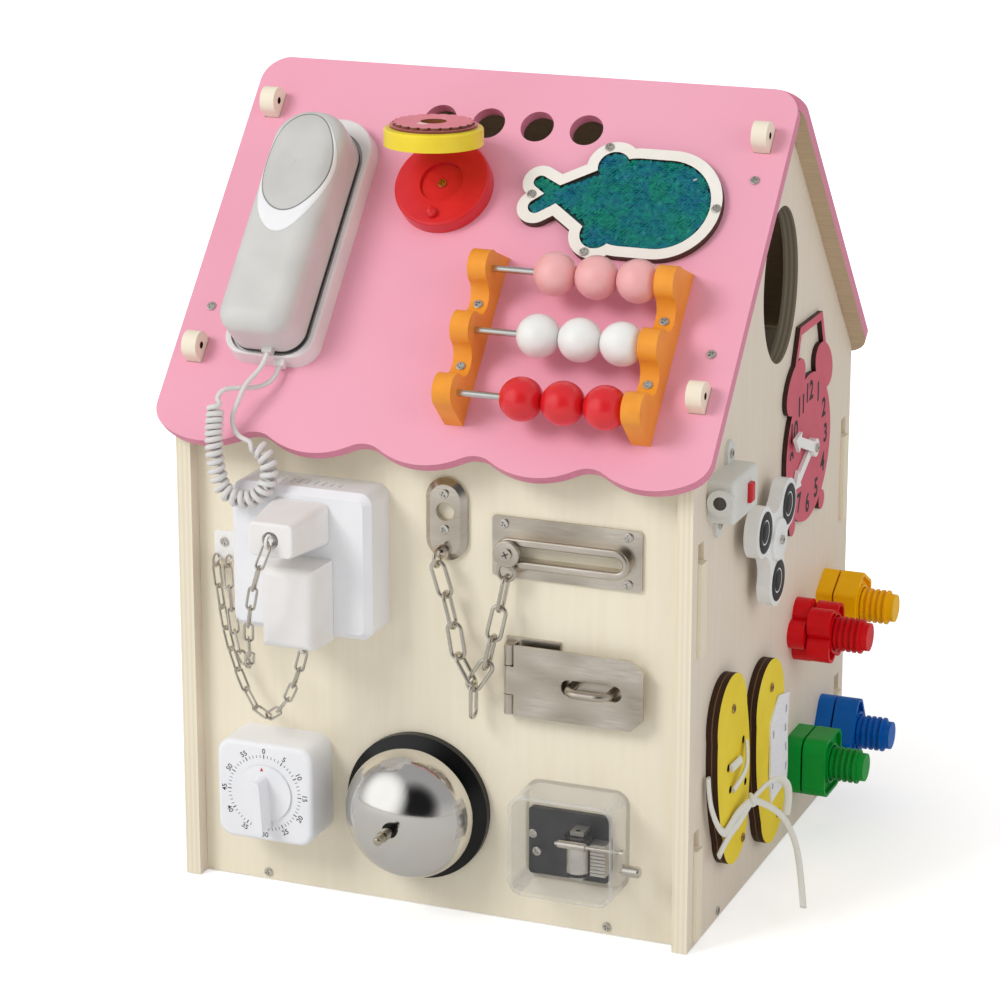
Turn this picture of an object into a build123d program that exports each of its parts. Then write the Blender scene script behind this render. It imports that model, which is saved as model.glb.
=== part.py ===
from build123d import *
import os
from math import acos, atan2, cos, degrees, hypot, pi, radians, sin, sqrt, tan

# A wooden busy house: a gabled plywood house whose walls and roof carry toys that move.
# Millimetres, +Z up. The origin is the centre of the footprint, on the surface that the house stands on.
# The front wall faces -Y, the toy-covered side wall faces +X.

os.makedirs("parts", exist_ok=True)

# House panels
WIDTH = 312.0
DEPTH = 304.0
PANEL = 9.0
SETBACK = 9.5
PANEL_FIT = 0.3
TAB_HEIGHT = 54.0
TAB_GAP = 11.0
TAB_PROUD = 2.5
LOW_TAB = 4.0
TAB_BELOW_RIDGE = 292.0
WINDOW_BELOW_RIDGE = 113.0
WINDOW_WIDE = 66.0
WINDOW_TALL = 92.0

# Roof panels
RIDGE_HEIGHT = 464.0
ROOF_PITCH = 48.9
ROOF_WIDTH = 333.0
ROOF_THICK = 7.0
FRONT_SLOPE = 241.0
BACK_SLOPE = 245.0
SCALLOPS = 5
SCALLOP_DEPTH = 13.5
RIDGE_CORNER = 17.0
ROOF_HOLES = 4
ROOF_HOLE = 20.0
ROOF_HOLE_STEP = 30.2
ROOF_HOLE_DOWN = 35.5
LUG_LENGTH = 16.0
LUG_STRAIGHT = 6.0
LUG_EYE = 3.6
UPPER_LUG = 34.0
LOWER_LUG = 198.0

# Screws
SCREW_HEAD = 5.4
SCREW_HEAD_TALL = 1.0
SCREW_CROSS = 3.4
SCREW_CROSS_WIDE = 0.8
SCREW_CROSS_DEEP = 0.6
SCREW_SHANK = 2.8
SCREW_LENGTH = 6.0
PIN_FIT = 0.05

# Telephone
PHONE_ACROSS = -104.5
PHONE_DOWN = 124.2
CRADLE_WIDE = 57.0
CRADLE_LONG = 158.5
CRADLE_TALL = 11.0
CRADLE_TOP_ROUND = 24.0
CRADLE_LOW_ROUND = 14.0
CRADLE_DRAFT = 5.0
CRADLE_EDGE = 1.5
HANDSET_WIDE = 45.5
HANDSET_LONG = 144.0
HANDSET_TALL = 34.0
HANDSET_TOP_ROUND = 21.0
HANDSET_LOW_ROUND = 13.0
HANDSET_CROWN = 11.5
HANDSET_OFFSET = 4.0
HANDSET_GAP = 1.8
HANDSET_SEAT = 2.5
SEAT_CLEARANCE = 0.3
JACK_WIDE = 6.0
JACK_TALL = 4.6
JACK_PROUD = 3.0
JACK_ACROSS = 4.0
BASE_JACK_ACROSS = 9.0
BASE_JACK_UP = 5.5
HANDSET_JACK_UP = 6.0

# Telephone cord
CORD = 2.8
CURL_RADIUS = 4.0
CURL_PITCH = 3.5
CURL_BEND_PITCH = 4.9
CURL_STRAIGHT = 16.0
CURL_LEAD = 9.0
CURL_GATHER = 15.0
CURL_STEP = 0.05
CORD_BELOW = 4.55
CORD_UP = 8.0

# Make-up compact
COMPACT_ACROSS = -29.0
COMPACT_DOWN = 81.5
COMPACT_BASE = 57.0
COMPACT_BASE_TALL = 9.5
COMPACT_WELL = 26.0
COMPACT_WELL_DEEP = 2.2
COMPACT_EDGE = 1.5
COMPACT_PEG = 6.5
COMPACT_PEG_DOWN = 21.0
COMPACT_LID = 57.0
COMPACT_LID_TALL = 10.0
COMPACT_LID_WELL = 51.0
COMPACT_LID_WELL_DEEP = 6.5
COMPACT_GAP = 0.4
COMPACT_PIN = 2.4
COMPACT_EAR = 4.0
COMPACT_KNUCKLE = 12.0
COMPACT_KNUCKLE_ROUND = 3.2
COMPACT_HINGE_OUT = 2.5
TOPPER_BUN = 50.0
TOPPER_ICING = 47.0
TOPPER_WAVE = 3.0
TOPPER_WAVES = 22
TOPPER_HOLE = 15.0
TOPPER_LAYER = 1.6

# Sequin fish
FISH_ACROSS = 90.0
FISH_DOWN = 82.5
FISH_RIM = 6.5
FISH_THICK = 5.0
FISH_NOSE = (13.0, 0.0, 28.5)
FISH_BELLY = (-5.0, 0.0, 28.5)
FISH_NECK = (-49.0, 1.5, 5.0)
FISH_FINS = ((-20.5, 22.0, 9.5), (-20.5, -21.5, 9.7))
FISH_TAILS = ((-61.5, 8.5, 4.0), (-60.5, -7.5, 4.5))
SEQUIN_DEEP = 3.2
SEQUIN_FIT = 0.4

# Abacus
ABACUS_TOP_ROD = 139.5
ROD_STEP = 39.0
ROD_UP = 20.0
ROD = 4.0
BEAD = 24.8
BEAD_WIDE = 24.0
BEAD_GAP = 0.3
BEAD_FIT = 0.3
LAST_BEAD_ACROSS = 107.2
RAIL_LEFT = 15.5
RAIL_THICK = 11.0
RAIL_TOP = 31.0
RAIL_VALLEY = 12.5
RAIL_UPPER_END = 17.5
RAIL_LOWER_END = 11.0

# Wall socket with its plugs
SOCKET_ACROSS = -70.3
SOCKET_UP = 208.7
SOCKET_SIDE = 86.0
SOCKET_DEEP = 28.0
SOCKET_ROUND = 7.0
SOCKET_EDGE = 4.0
VENT_LONG = 9.0
VENT_WIDE = 1.2
VENT_DEEP = 1.0
VENT_STEP = 5.0
VENT_SPREAD = 23.0
PLUG_ROUND = 4.0
PLUG_EDGE = 1.5
PIN_WIDE = 1.8
PIN_TALL = 6.3
PIN_LONG = 15.0
PIN_CLEAR = 0.3
PLUG_GAP = 0.3
SMALL_PLUG_UP = 24.0
SMALL_PLUG_ACROSS = 1.0
SMALL_PLUG_BACK_WIDE = 35.0
SMALL_PLUG_BACK_TALL = 25.0
SMALL_PLUG_FRONT_WIDE = 27.0
SMALL_PLUG_FRONT_TALL = 19.5
SMALL_PLUG_DEEP = 39.0
SMALL_PIN_STEP = 12.7
PLUG_EYE_HOLE = 10.0
PLUG_EYE_DEEP = 9.0
EYE = 3.6
EYE_WIRE = 1.5
LARGE_PLUG_UP = -20.0
LARGE_PLUG_ACROSS = 2.0
LARGE_PLUG_WIDE = 37.0
LARGE_PLUG_TALL = 47.0
LARGE_PLUG_DEEP = 26.0
LARGE_PLUG_SLANT = 5.0
LARGE_PLUG_TAPER = 1.5
LARGE_PLUG_ROUND = 5.0
LARGE_PIN_STEP = 13.0
LARGE_PIN_UP = 9.0
LARGE_EYE_ACROSS = 6.0

# Chain bracket and the plug chains
BRACKET_ACROSS = -130.0
BRACKET_UP = 204.0
BRACKET_WIDE = 13.0
BRACKET_TALL = 17.0
BRACKET_THICK = 2.0
BRACKET_EYE_STEP = 8.0
HOOK_OUT = 5.5
SMALL_LINKS = 13
LARGE_LINKS = 13
LINK_WIDE = 6.2
LINK_WIRE = 1.5
LINK_SLACK = 0.45

# Door chain
HOLDER_ACROSS = 8.6
HOLDER_UP = 235.5
HOLDER_WIDE = 25.0
HOLDER_TALL = 48.0
HOLDER_THICK = 4.5
HOLDER_BEVEL = 2.6
HOLDER_BEVEL_WIDE = 3.4
HOLDER_HOLE = 11.0
HOLDER_HOLE_UP = 5.0
HOLDER_NUB = 9.0
HOLDER_NUB_ACROSS = -2.0
HOLDER_NUB_DOWN = 18.5
HOLDER_EYE_OUT = 6.0
DOOR_EYE = 5.0
DOOR_SLACK = 0.5
TRACK_ACROSS = 80.2
TRACK_UP = 223.5
TRACK_WIDE = 88.5
TRACK_TALL = 35.0
TRACK_THICK = 1.6
TRACK_ROUND = 2.0
TRACK_RIM_ACROSS = -1.0
TRACK_RIM_UP = -1.5
TRACK_RIM_WIDE = 79.0
TRACK_RIM_TALL = 18.0
TRACK_RIM_PROUD = 6.5
TRACK_RIM_EDGE = 1.6
TRACK_SLOT_WIDE = 71.0
TRACK_SLOT_TALL = 8.0
KNOB = 15.5
KNOB_TALL = 2.6
KNOB_NECK = 7.0
KNOB_SIDE = 0.5
KNOB_GAP = 0.5
KNOB_SCREW = 7.0
DOOR_LINKS = 8
DOOR_LINK_WIDE = 10.5
DOOR_LINK_WIRE = 2.3

# Hasp
HASP_LEFT = 44.5
HASP_BELOW_TRACK = 75.9
HASP_TALL = 41.5
HASP_LONG = 83.5
HASP_THICK = 1.6
HASP_CHAMFER = 7.0
HASP_AXIS_OUT = 5.0
HASP_KNUCKLE = 3.2
HASP_PIN = 3.0
HASP_KNUCKLE_TALL = 17.0
HASP_LEAF_LONG = 32.0
HASP_LEAF_TALL = 44.0
HASP_LEAF_UP = 1.5
HASP_KNUCKLE_GAP = 0.3
HASP_SLOT_LONG = 36.0
HASP_SLOT_TALL = 9.5
HASP_SLOT_ACROSS = 53.0
STAPLE_WIDE = 29.0
STAPLE_WIRE = 5.0
STAPLE_PROUD = 17.0
STAPLE_BEND = 7.0
STAPLE_PLATE_WIDE = 40.0
STAPLE_PLATE_TALL = 26.0

# Kitchen timer
TIMER_ACROSS = -94.5
TIMER_UP = 66.5
TIMER_SIDE = 60.0
TIMER_DEEP = 29.0
TIMER_ROUND = 9.0
TIMER_EDGE = 3.0
DIAL = 34.0
DIAL_TALL = 0.7
DIAL_BAR_LONG = 33.0
DIAL_BAR_WIDE = 7.0
DIAL_BAR_TALL = 11.0
DIAL_BAR_DRAFT = 4.0
DIAL_BAR_DOWN = 5.0
DIAL_TURN = 4.0
DIAL_SHAFT = 6.0
DIAL_SHAFT_LONG = 12.0
DIAL_GAP = 0.4

# Desk bell
BELL_ACROSS = -9.5
BELL_UP = 62.0
BELL_BASE = 87.0
BELL_BASE_TALL = 12.0
BELL_BASE_LIP = 5.0
BELL_BASE_TOP = 60.0
BELL_DOME = 77.0
BELL_DOME_OUT = 14.0
BELL_DOME_TALL = 29.0
BELL_DOME_WALL = 1.2
BELL_POST = 13.0
BELL_NECK = 9.0
BELL_PLUNGER = 5.4
BELL_PLUNGER_FIT = 0.08
BELL_BUTTON = 6.8
BELL_BUTTON_TALL = 5.0
BELL_PLUNGER_PROUD = 18.0
BELL_PLUNGER_DEEP = 20.0
BELL_TRAVEL = 4.0

# Crank music box
MUSIC_ACROSS = 87.0
MUSIC_UP = 58.0
MUSIC_WIDE = 62.5
MUSIC_TALL = 60.0
MUSIC_DEEP = 30.0
MUSIC_WALL = 2.2
MUSIC_ROUND = 9.0
MUSIC_EDGE = 2.0
BEDPLATE_ACROSS = -4.0
BEDPLATE_UP = -6.0
BEDPLATE_WIDE = 48.0
BEDPLATE_TALL = 40.0
BEDPLATE_THICK = 3.5
MUSIC_DRUM = 13.5
MUSIC_DRUM_TALL = 19.0
MUSIC_DRUM_ACROSS = 5.0
MUSIC_DRUM_UP = -9.0
MUSIC_DRUM_OUT = 12.0
DRUM_GEAR = 16.0
DRUM_GEAR_TALL = 4.0
DRUM_GAP = 0.5
DRUM_PIN = 3.0
GEAR_TEETH = 20
GEAR_NOTCH = 0.7
BRACKET_BAR = 2.5
BRACKET_BAR_WIDE = 8.0
WORM = 4.4
WORM_GAP = 0.3
WORM_SHAFT = 2.2
WORM_LONG = 16.0
COMB_GAP = 0.6
COMB_WIDE = 9.0
COMB_THICK = 1.0
COMB_TEETH = 9
COMB_SLIT = 0.5
CRANK_GAP = 0.6
CRANK_REACH = 4.0
CRANK_DROP = 10.0
CRANK_ARM = 4.0
CRANK_KNOB = 6.5
CRANK_KNOB_LONG = 10.0

# Clock board
CLOCK_ALONG = 53.7
CLOCK_UP = 241.0
CLOCK_FACE = 90.0
CLOCK_THICK = 3.0
CLOCK_BELL_WIDE = 40.0
CLOCK_BELL_TALL = 26.0
CLOCK_BELL_TILT = 33.0
CLOCK_BELL_ALONG = 28.5
CLOCK_BELL_UP = 43.5
CLOCK_HANDLE_FOOT = 33.0
CLOCK_HANDLE_WIDE = 45.0
CLOCK_HANDLE_TOP = 78.0
CLOCK_HANDLE_BAR = 5.0
CLOCK_HANDLE_LOW = 52.0
CLOCK_FOOT = 12.0
CLOCK_FOOT_ALONG = 30.0
CLOCK_FOOT_DOWN = 41.0
HAND_THICK = 2.2
HAND_HUB = 11.0
HAND_GAP = 0.3
HAND_PIVOT = 3.0
HOUR_HAND = 31.0
HOUR_HAND_TURN = 207.0
MINUTE_HAND = 38.0
MINUTE_HAND_TURN = 160.0
HAND_WIDE = 6.0
HAND_HEAD = 14.0

# Fidget spinner
SPINNER_ALONG = -44.0
SPINNER_UP = 213.5
SPINNER_ARM = 25.7
SPINNER_LOBE = 30.0
SPINNER_THICK = 8.0
SPINNER_OUT = 6.5
SPINNER_RING = 24.5
SPINNER_RING_HOLE = 13.0
SPINNER_RING_PROUD = 0.4
SPINNER_WAIST = 22.0
SPINNER_NOTCH_ARM = 32.0
SPINNER_NOTCH = 15.0
SPINNER_TURN = 36.0
SPINNER_CAP = 25.0
SPINNER_CAP_TALL = 2.6
SPINNER_POST = 5.0
SPINNER_POST_FIT = 0.08
SPINNER_COLLAR = 11.0
SPINNER_GAP = 0.5

# Small torch
TORCH_ALONG = -107.0
TORCH_UP = 258.0
TORCH_LONG = 42.0
TORCH_TALL = 26.0
TORCH_DEEP = 16.0
TORCH_EDGE = 3.0
TORCH_LENS = 15.0
TORCH_LENS_PROUD = 3.0
TORCH_BUTTON_WIDE = 6.5
TORCH_BUTTON_TALL = 11.0
TORCH_BUTTON_PROUD = 2.6
TORCH_BUTTON_DEEP = 5.0
TORCH_BUTTON_FIT = 0.3
TORCH_BUTTON_ALONG = 4.0
TORCH_TRAVEL = 1.5
TORCH_EAR = 12.5
TORCH_EAR_THICK = 2.0
TORCH_UPPER_EAR = 14.0
TORCH_LOWER_EAR = -4.5

# Bolts and nuts
BOLT_FRONT_ALONG = 47.0
BOLT_BACK_ALONG = 105.0
BOLT_LOW = 46.0
BOLT_HIGH = 129.0
HEXAGON = 18.0
SQUARE = 18.0
SQUARE_ROUND = 8.0
TRIANGLE = 14.5
TRIANGLE_ROUND = 8.0
CLOVER_ARM = 10.5
CLOVER_LOBE = 9.0
CLOVER_TURN = 45.0
BOLT_HEAD_TALL = 10.0
BOLT_LONG = 46.0
THREAD = 21.0
THREAD_DEEP = 2.0
THREAD_PITCH = 3.6
THREAD_START = 11.0
NUT_GAP = 1.2
NUT_TALL = 14.0
NUT_RIM = 2.0
NUT_BOSS = 12.4
NUT_RECESS_DEEP = 2.5
NUT_FIT = 0.4
SHAPE_ROUND = 3.0

# Shoe soles
SOLE_LONG = 117.0
SOLE_TOE = 53.0
SOLE_WAIST = 56.0
SOLE_HEEL = 46.0
SOLE_THICK = 7.0
SOLE_TILT = 8.0
FRONT_SOLE_ALONG = -93.0
FRONT_SOLE_UP = 90.0
BACK_SOLE_ALONG = -21.0
BACK_SOLE_UP = 75.0
LACE_HOLE = 4.6
LACE = 3.0
LACE_OVER = 0.3
KNOT = 11.0
STRAP_THICK = 1.8
STRAP_SLOT_WIDE = 2.2
STRAP_SLOT_TALL = 4.2

# Places worked out from the house
pitch = radians(ROOF_PITCH)
roof_rise = tan(pitch)
roof_under = ROOF_THICK / cos(pitch)
wall_gap = WIDTH - 2 * PANEL
wall_middle = DEPTH / 2 - SETBACK - PANEL / 2
wall_face = DEPTH / 2 - SETBACK
gable_peak = RIDGE_HEIGHT - roof_under
gable_eave = gable_peak - DEPTH / 2 * roof_rise
wall_top = gable_peak - wall_face * roof_rise - PANEL_FIT

high_tab = RIDGE_HEIGHT - TAB_BELOW_RIDGE
window_height = RIDGE_HEIGHT - WINDOW_BELOW_RIDGE

front = Plane(origin=(0, -wall_face, 0), x_dir=(1, 0, 0), z_dir=(0, -1, 0))
back = Plane(origin=(0, wall_face, 0), x_dir=(-1, 0, 0), z_dir=(0, 1, 0))
side = Plane(origin=(WIDTH / 2, 0, 0), x_dir=(0, 1, 0), z_dir=(1, 0, 0))
far_side = Plane(origin=(-WIDTH / 2, 0, 0), x_dir=(0, -1, 0), z_dir=(-1, 0, 0))
front_slope = Plane(origin=(0, 0, RIDGE_HEIGHT), x_dir=(1, 0, 0), z_dir=(0, -sin(pitch), cos(pitch)))
back_slope = Plane(origin=(0, 0, RIDGE_HEIGHT), x_dir=(-1, 0, 0), z_dir=(0, sin(pitch), cos(pitch)))


def spot(plane, across, up, out=0.0):
    """The same plane with its origin moved to a place on it, or out from it."""
    return Plane(plane.from_local_coords((across, up, out)), plane.x_dir, plane.z_dir)


def keep(built, node):
    """Labels a finished piece and writes it under its node's name."""
    built.part.label = node
    export_step(built.part, f"parts/{node}.step")


# Side walls: gabled, with slots for the front and back walls' tabs and lugs that pass through the roof
def side_wall(inner):
    with BuildPart() as wall:
        with BuildSketch(Plane.YZ.offset(inner)):
            with BuildLine():
                Polyline(
                    (-DEPTH / 2, 0),
                    (DEPTH / 2, 0),
                    (DEPTH / 2, gable_eave),
                    (0, gable_peak),
                    (-DEPTH / 2, gable_eave),
                    close=True,
                )
            make_face()
            with Locations((0, window_height)):
                Ellipse(WINDOW_WIDE / 2, WINDOW_TALL / 2, mode=Mode.SUBTRACT)
            slot_tall = TAB_HEIGHT + TAB_GAP
            for low in (LOW_TAB, high_tab):
                with Locations((-wall_middle, low + slot_tall / 2), (wall_middle, low + slot_tall / 2)):
                    Rectangle(PANEL + 2 * PANEL_FIT, slot_tall, mode=Mode.SUBTRACT)
            for lean in (-1, 1):
                for down in (UPPER_LUG, LOWER_LUG):
                    foot = (lean * down * cos(pitch), RIDGE_HEIGHT - down * sin(pitch), 0)
                    lug_tall = LUG_STRAIGHT + ROOF_THICK + 1
                    with Locations(Location(foot, (0, 0, -lean * ROOF_PITCH))):
                        with Locations((0, LUG_STRAIGHT - lug_tall / 2)):
                            Rectangle(LUG_LENGTH, lug_tall)
                        with Locations((0, LUG_STRAIGHT)):
                            Circle(LUG_LENGTH / 2)
                            Circle(LUG_EYE / 2, mode=Mode.SUBTRACT)
        extrude(amount=PANEL)
    return wall


left_wall = side_wall(-WIDTH / 2)
keep(left_wall, "left_wall")
right_wall = side_wall(WIDTH / 2 - PANEL)
keep(right_wall, "right_wall")


# Front and back walls: flat panels with two tabs on each side
def cross_wall(plane):
    with BuildPart() as wall:
        with BuildSketch(plane):
            with Locations((0, wall_top / 2)):
                Rectangle(wall_gap, wall_top)
            for low in (LOW_TAB, high_tab):
                with Locations((0, low + TAB_HEIGHT / 2)):
                    Rectangle(WIDTH + 2 * TAB_PROUD, TAB_HEIGHT)
        extrude(amount=-PANEL)
    return wall


front_wall = cross_wall(front)
keep(front_wall, "front_wall")
back_wall = cross_wall(back)
keep(back_wall, "back_wall")

# Floor panel, flush with the bottom of the walls
with BuildPart() as floor_panel:
    with BuildSketch(Plane.XY):
        Rectangle(wall_gap, 2 * (wall_face - PANEL))
    extrude(amount=PANEL)
keep(floor_panel, "floor_panel")


# Roof panels, mitred along the ridge
def lug_slots():
    """Slots in a roof panel for the side walls' lugs."""
    lug_across = WIDTH / 2 - PANEL / 2
    for down in (UPPER_LUG, LOWER_LUG):
        with Locations((-lug_across, -down), (lug_across, -down)):
            Rectangle(PANEL + 2 * PANEL_FIT, LUG_LENGTH + 2 * PANEL_FIT, mode=Mode.SUBTRACT)


with BuildPart() as front_roof:
    with BuildSketch(front_slope) as panel:
        with BuildLine():
            half = ROOF_WIDTH / 2
            step = ROOF_WIDTH / SCALLOPS
            Polyline((-half, -FRONT_SLOPE), (-half, 0), (half, 0), (half, -FRONT_SLOPE))
            for i in range(SCALLOPS):
                left = -half + i * step
                ThreePointArc(
                    (left, -FRONT_SLOPE),
                    (left + step / 2, -FRONT_SLOPE - SCALLOP_DEPTH),
                    (left + step, -FRONT_SLOPE),
                )
        make_face()
        fillet(panel.vertices().group_by(Axis.Z)[-1], RIDGE_CORNER)
        with Locations((0, -ROOF_HOLE_DOWN)):
            with GridLocations(ROOF_HOLE_STEP, 1, ROOF_HOLES, 1):
                Circle(ROOF_HOLE / 2, mode=Mode.SUBTRACT)
        lug_slots()
    extrude(amount=-ROOF_THICK)
    split(bisect_by=Plane.XZ, keep=Keep.TOP)
keep(front_roof, "front_roof")

with BuildPart() as back_roof:
    with BuildSketch(back_slope) as panel:
        with Locations((0, -BACK_SLOPE / 2)):
            Rectangle(ROOF_WIDTH, BACK_SLOPE)
        fillet(panel.vertices().group_by(Axis.Z)[-1], RIDGE_CORNER)
        lug_slots()
    extrude(amount=-ROOF_THICK)
    split(bisect_by=Plane.XZ, keep=Keep.BOTTOM)
keep(back_roof, "back_roof")


# Telephone: a handset lying in a cradle that is fixed to the roof
def phone_outline(wide, long, top_round, low_round):
    """A rounded outline, with larger corners at the ear end."""
    with BuildSketch(mode=Mode.PRIVATE) as outline:
        Rectangle(wide, long)
        fillet(outline.vertices().group_by(Axis.Y)[-1], top_round)
        fillet(outline.vertices().group_by(Axis.Y)[0], low_round)
    return outline.sketch


phone = spot(front_slope, PHONE_ACROSS, -PHONE_DOWN)
roof_height = Axis(front_slope.origin, front_slope.z_dir)
handset_low = CRADLE_TALL - HANDSET_SEAT + SEAT_CLEARANCE
cradle_end = -CRADLE_LONG / 2
handset_end = -HANDSET_OFFSET - HANDSET_LONG / 2

with BuildPart() as phone_cradle:
    with BuildSketch(phone):
        add(phone_outline(CRADLE_WIDE, CRADLE_LONG, CRADLE_TOP_ROUND, CRADLE_LOW_ROUND))
    extrude(amount=CRADLE_TALL, taper=CRADLE_DRAFT)
    fillet(phone_cradle.edges().group_by(roof_height)[-1], CRADLE_EDGE)
    seat_wide = HANDSET_WIDE + 2 * HANDSET_GAP
    seat_long = HANDSET_LONG + 2 * HANDSET_GAP
    with BuildSketch(spot(phone, 0, -HANDSET_OFFSET, CRADLE_TALL)):
        top_round = HANDSET_TOP_ROUND + HANDSET_GAP
        low_round = HANDSET_LOW_ROUND + HANDSET_GAP
        add(phone_outline(seat_wide, seat_long, top_round, low_round))
    extrude(amount=-HANDSET_SEAT, mode=Mode.SUBTRACT)
    with BuildSketch(spot(phone, BASE_JACK_ACROSS, cradle_end + JACK_PROUD, BASE_JACK_UP - JACK_TALL / 2)):
        Rectangle(JACK_WIDE, 4 * JACK_PROUD)
    extrude(amount=JACK_TALL)
keep(phone_cradle, "phone_cradle")

with BuildPart() as phone_handset:
    with BuildSketch(spot(phone, 0, -HANDSET_OFFSET, handset_low)):
        add(phone_outline(HANDSET_WIDE, HANDSET_LONG, HANDSET_TOP_ROUND, HANDSET_LOW_ROUND))
    extrude(amount=HANDSET_TALL)
    fillet(phone_handset.edges().group_by(roof_height)[-1], HANDSET_CROWN)
    fillet(phone_handset.edges().group_by(roof_height)[0], CRADLE_EDGE)
    handset_jack = handset_low + HANDSET_JACK_UP
    with BuildSketch(spot(phone, JACK_ACROSS, handset_end + JACK_PROUD, handset_jack - JACK_TALL / 2)):
        Rectangle(JACK_WIDE, 4 * JACK_PROUD)
    extrude(amount=JACK_TALL)
keep(phone_handset, "phone_handset")

# Telephone cord: a plain lead from the cradle, the curls, and a plain lead to the handset
base_jack_end = phone.from_local_coords((BASE_JACK_ACROSS, cradle_end - JACK_PROUD, BASE_JACK_UP))
handset_jack_end = phone.from_local_coords((JACK_ACROSS, handset_end - JACK_PROUD, handset_jack))
cord_home = phone.from_local_coords((BASE_JACK_ACROSS, cradle_end - CORD_BELOW, CORD_UP))
downhill = -front_slope.y_dir
curl_top = cord_home + Vector(-23.2, -34.7, -26.5)
curl_end = cord_home + Vector(-4.5, -27.7, -36.7)
base_lead_route = [
    base_jack_end,
    base_jack_end + downhill * 8,
    cord_home + Vector(-5.4, -10.7, -10.8),
    cord_home + Vector(-13.5, -14.7, -11.5),
    cord_home + Vector(-21.5, -22.2, -11.5),
    cord_home + Vector(-24.2, -31.2, -15.5),
    curl_top,
]
handset_lead_route = [
    handset_jack_end,
    handset_jack_end + downhill * 9,
    cord_home + Vector(-11.0, -17.7, -5.5),
    cord_home + Vector(-14.5, -21.7, -16.5),
    cord_home + Vector(-17.3, -25.2, -25.7),
    cord_home + Vector(-13.1, -26.3, -34.4),
    curl_end,
]
curl_start_way = (base_lead_route[-1] - base_lead_route[-2]).normalized()
curl_end_way = (handset_lead_route[-2] - handset_lead_route[-1]).normalized()


def bend_radii(points):
    """The largest bend at each corner that leaves a little straight in every run."""
    radii = []
    for before, corner, after in zip(points, points[1:], points[2:]):
        run_in = corner - before
        run_out = after - corner
        half_turn = radians(run_in.get_angle(run_out)) / 2
        radii.append(0.45 * min(run_in.length, run_out.length) / tan(half_turn))
    return radii


def tube(points, thickness):
    """A round cord along straight runs and bends."""
    radii = bend_radii(points)
    with BuildPart() as cord:
        with BuildLine() as route:
            FilletPolyline(*points, radius=radii)
        with BuildSketch(Plane(points[0], z_dir=points[1] - points[0])):
            Circle(thickness / 2)
        sweep()
    section = pi * thickness**2 / 4
    cord_length = route.wire().length
    print(
        "cord radii",
        [round(radius, 1) for radius in radii],
        "length",
        round(cord_length, 1),
        "volume share",
        round(cord.part.volume / section / cord_length, 4),
    )
    return cord


phone_base_lead = tube(base_lead_route, CORD)
keep(phone_base_lead, "phone_base_lead")
phone_handset_lead = tube(handset_lead_route, CORD)
keep(phone_handset_lead, "phone_handset_lead")

curl_middle = Spline(
    curl_top + curl_start_way * CORD,
    cord_home + Vector(-21.8, -37.4, -41.5),
    cord_home + Vector(-20.5, -37.2, -52.0),
    cord_home + Vector(-16.1, -36.4, -62.6),
    cord_home + Vector(-5.5, -34.8, -67.0),
    cord_home + Vector(5.1, -33.2, -62.6),
    cord_home + Vector(9.5, -31.5, -52.0),
    cord_home + Vector(5.1, -29.4, -41.4),
    curl_end - curl_end_way * CORD,
    tangents=(curl_start_way, curl_end_way),
)


def ease(share):
    """Rises smoothly from 0 to 1."""
    share = max(0.0, min(1.0, share))
    return share * share * (3 - 2 * share)


def curl_points():
    """Points and headings of the curls, about four to a turn, that start and end on the middle line."""
    reach = curl_middle.length
    steps = int(reach / CURL_STEP)
    step = reach / steps
    out = curl_start_way.cross(Vector(0, 1, 0)).normalized()
    turn = 0.0
    line = []
    for i in range(steps + 1):
        along = i * step
        heading = curl_middle % (along / reach)
        out = (out - heading * out.dot(heading)).normalized()
        across = heading.cross(out)
        ends = min(along, reach - along)
        size = CURL_RADIUS * ease(ends / CURL_LEAD)
        spoke = out * cos(turn) + across * sin(turn)
        line.append((curl_middle @ (along / reach) + spoke * size, turn))
        opened = ease((along - CURL_STRAIGHT) / CURL_STRAIGHT)
        pitch_here = CURL_PITCH + (CURL_BEND_PITCH - CURL_PITCH) * opened
        turn += 2 * pi * step / pitch_here * ease(ends / CURL_GATHER) ** 2
    places = [(line[0][0], curl_start_way)]
    since = 0.0
    marked = 0.0
    for i in range(1, steps):
        since += (line[i][0] - line[i - 1][0]).length
        if line[i][1] - marked >= pi / 2 or since >= CURL_RADIUS * pi / 2:
            places.append((line[i][0], (line[i + 1][0] - line[i - 1][0]).normalized()))
            marked = line[i][1]
            since = 0.0
    if (places[-1][0] - line[-1][0]).length < CURL_RADIUS / 2:
        places.pop()
    places.append((line[-1][0], curl_end_way))
    print("curls", round(line[-1][1] / 2 / pi, 1))
    return places


curls = curl_points()

with BuildPart() as phone_coil_cord:
    curl_radii = []
    with BuildLine() as curl_route:
        Line(curl_top, curls[0][0])
        for (start, way), (stop, next_way) in zip(curls, curls[1:]):
            chord = stop - start
            both = way + next_way
            spread = 2 * (1 - way.dot(next_way))
            slant = chord.dot(both)
            pull = (sqrt(slant**2 + spread * chord.dot(chord)) - slant) / spread
            first = start + way * pull
            second = stop - next_way * pull
            meet = (first + second) / 2
            one = TangentArc(start, meet, tangent=way)
            two = TangentArc(meet, stop, tangent=second - first)
            curl_radii.extend((one.radius, two.radius))
        Line(curls[-1][0], curl_end)
    with BuildSketch(Plane(curl_top, z_dir=curl_start_way)):
        Circle(CORD / 2)
    sweep()
curl_wire = curl_route.wire()
curl_length = curl_wire.length
curl_marks = [curl_wire @ (i / 1500) for i in range(1501)]
mark_step = curl_length / 1500
skip = int(2.2 * CURL_RADIUS * pi / 2 / mark_step)
nearest = min(
    (curl_marks[i] - curl_marks[j]).length for i in range(0, 1501, 2) for j in range(i + skip, 1501, 2)
)
print("curly cord length", round(curl_length, 1), "tightest bend", round(min(curl_radii), 2))
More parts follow.
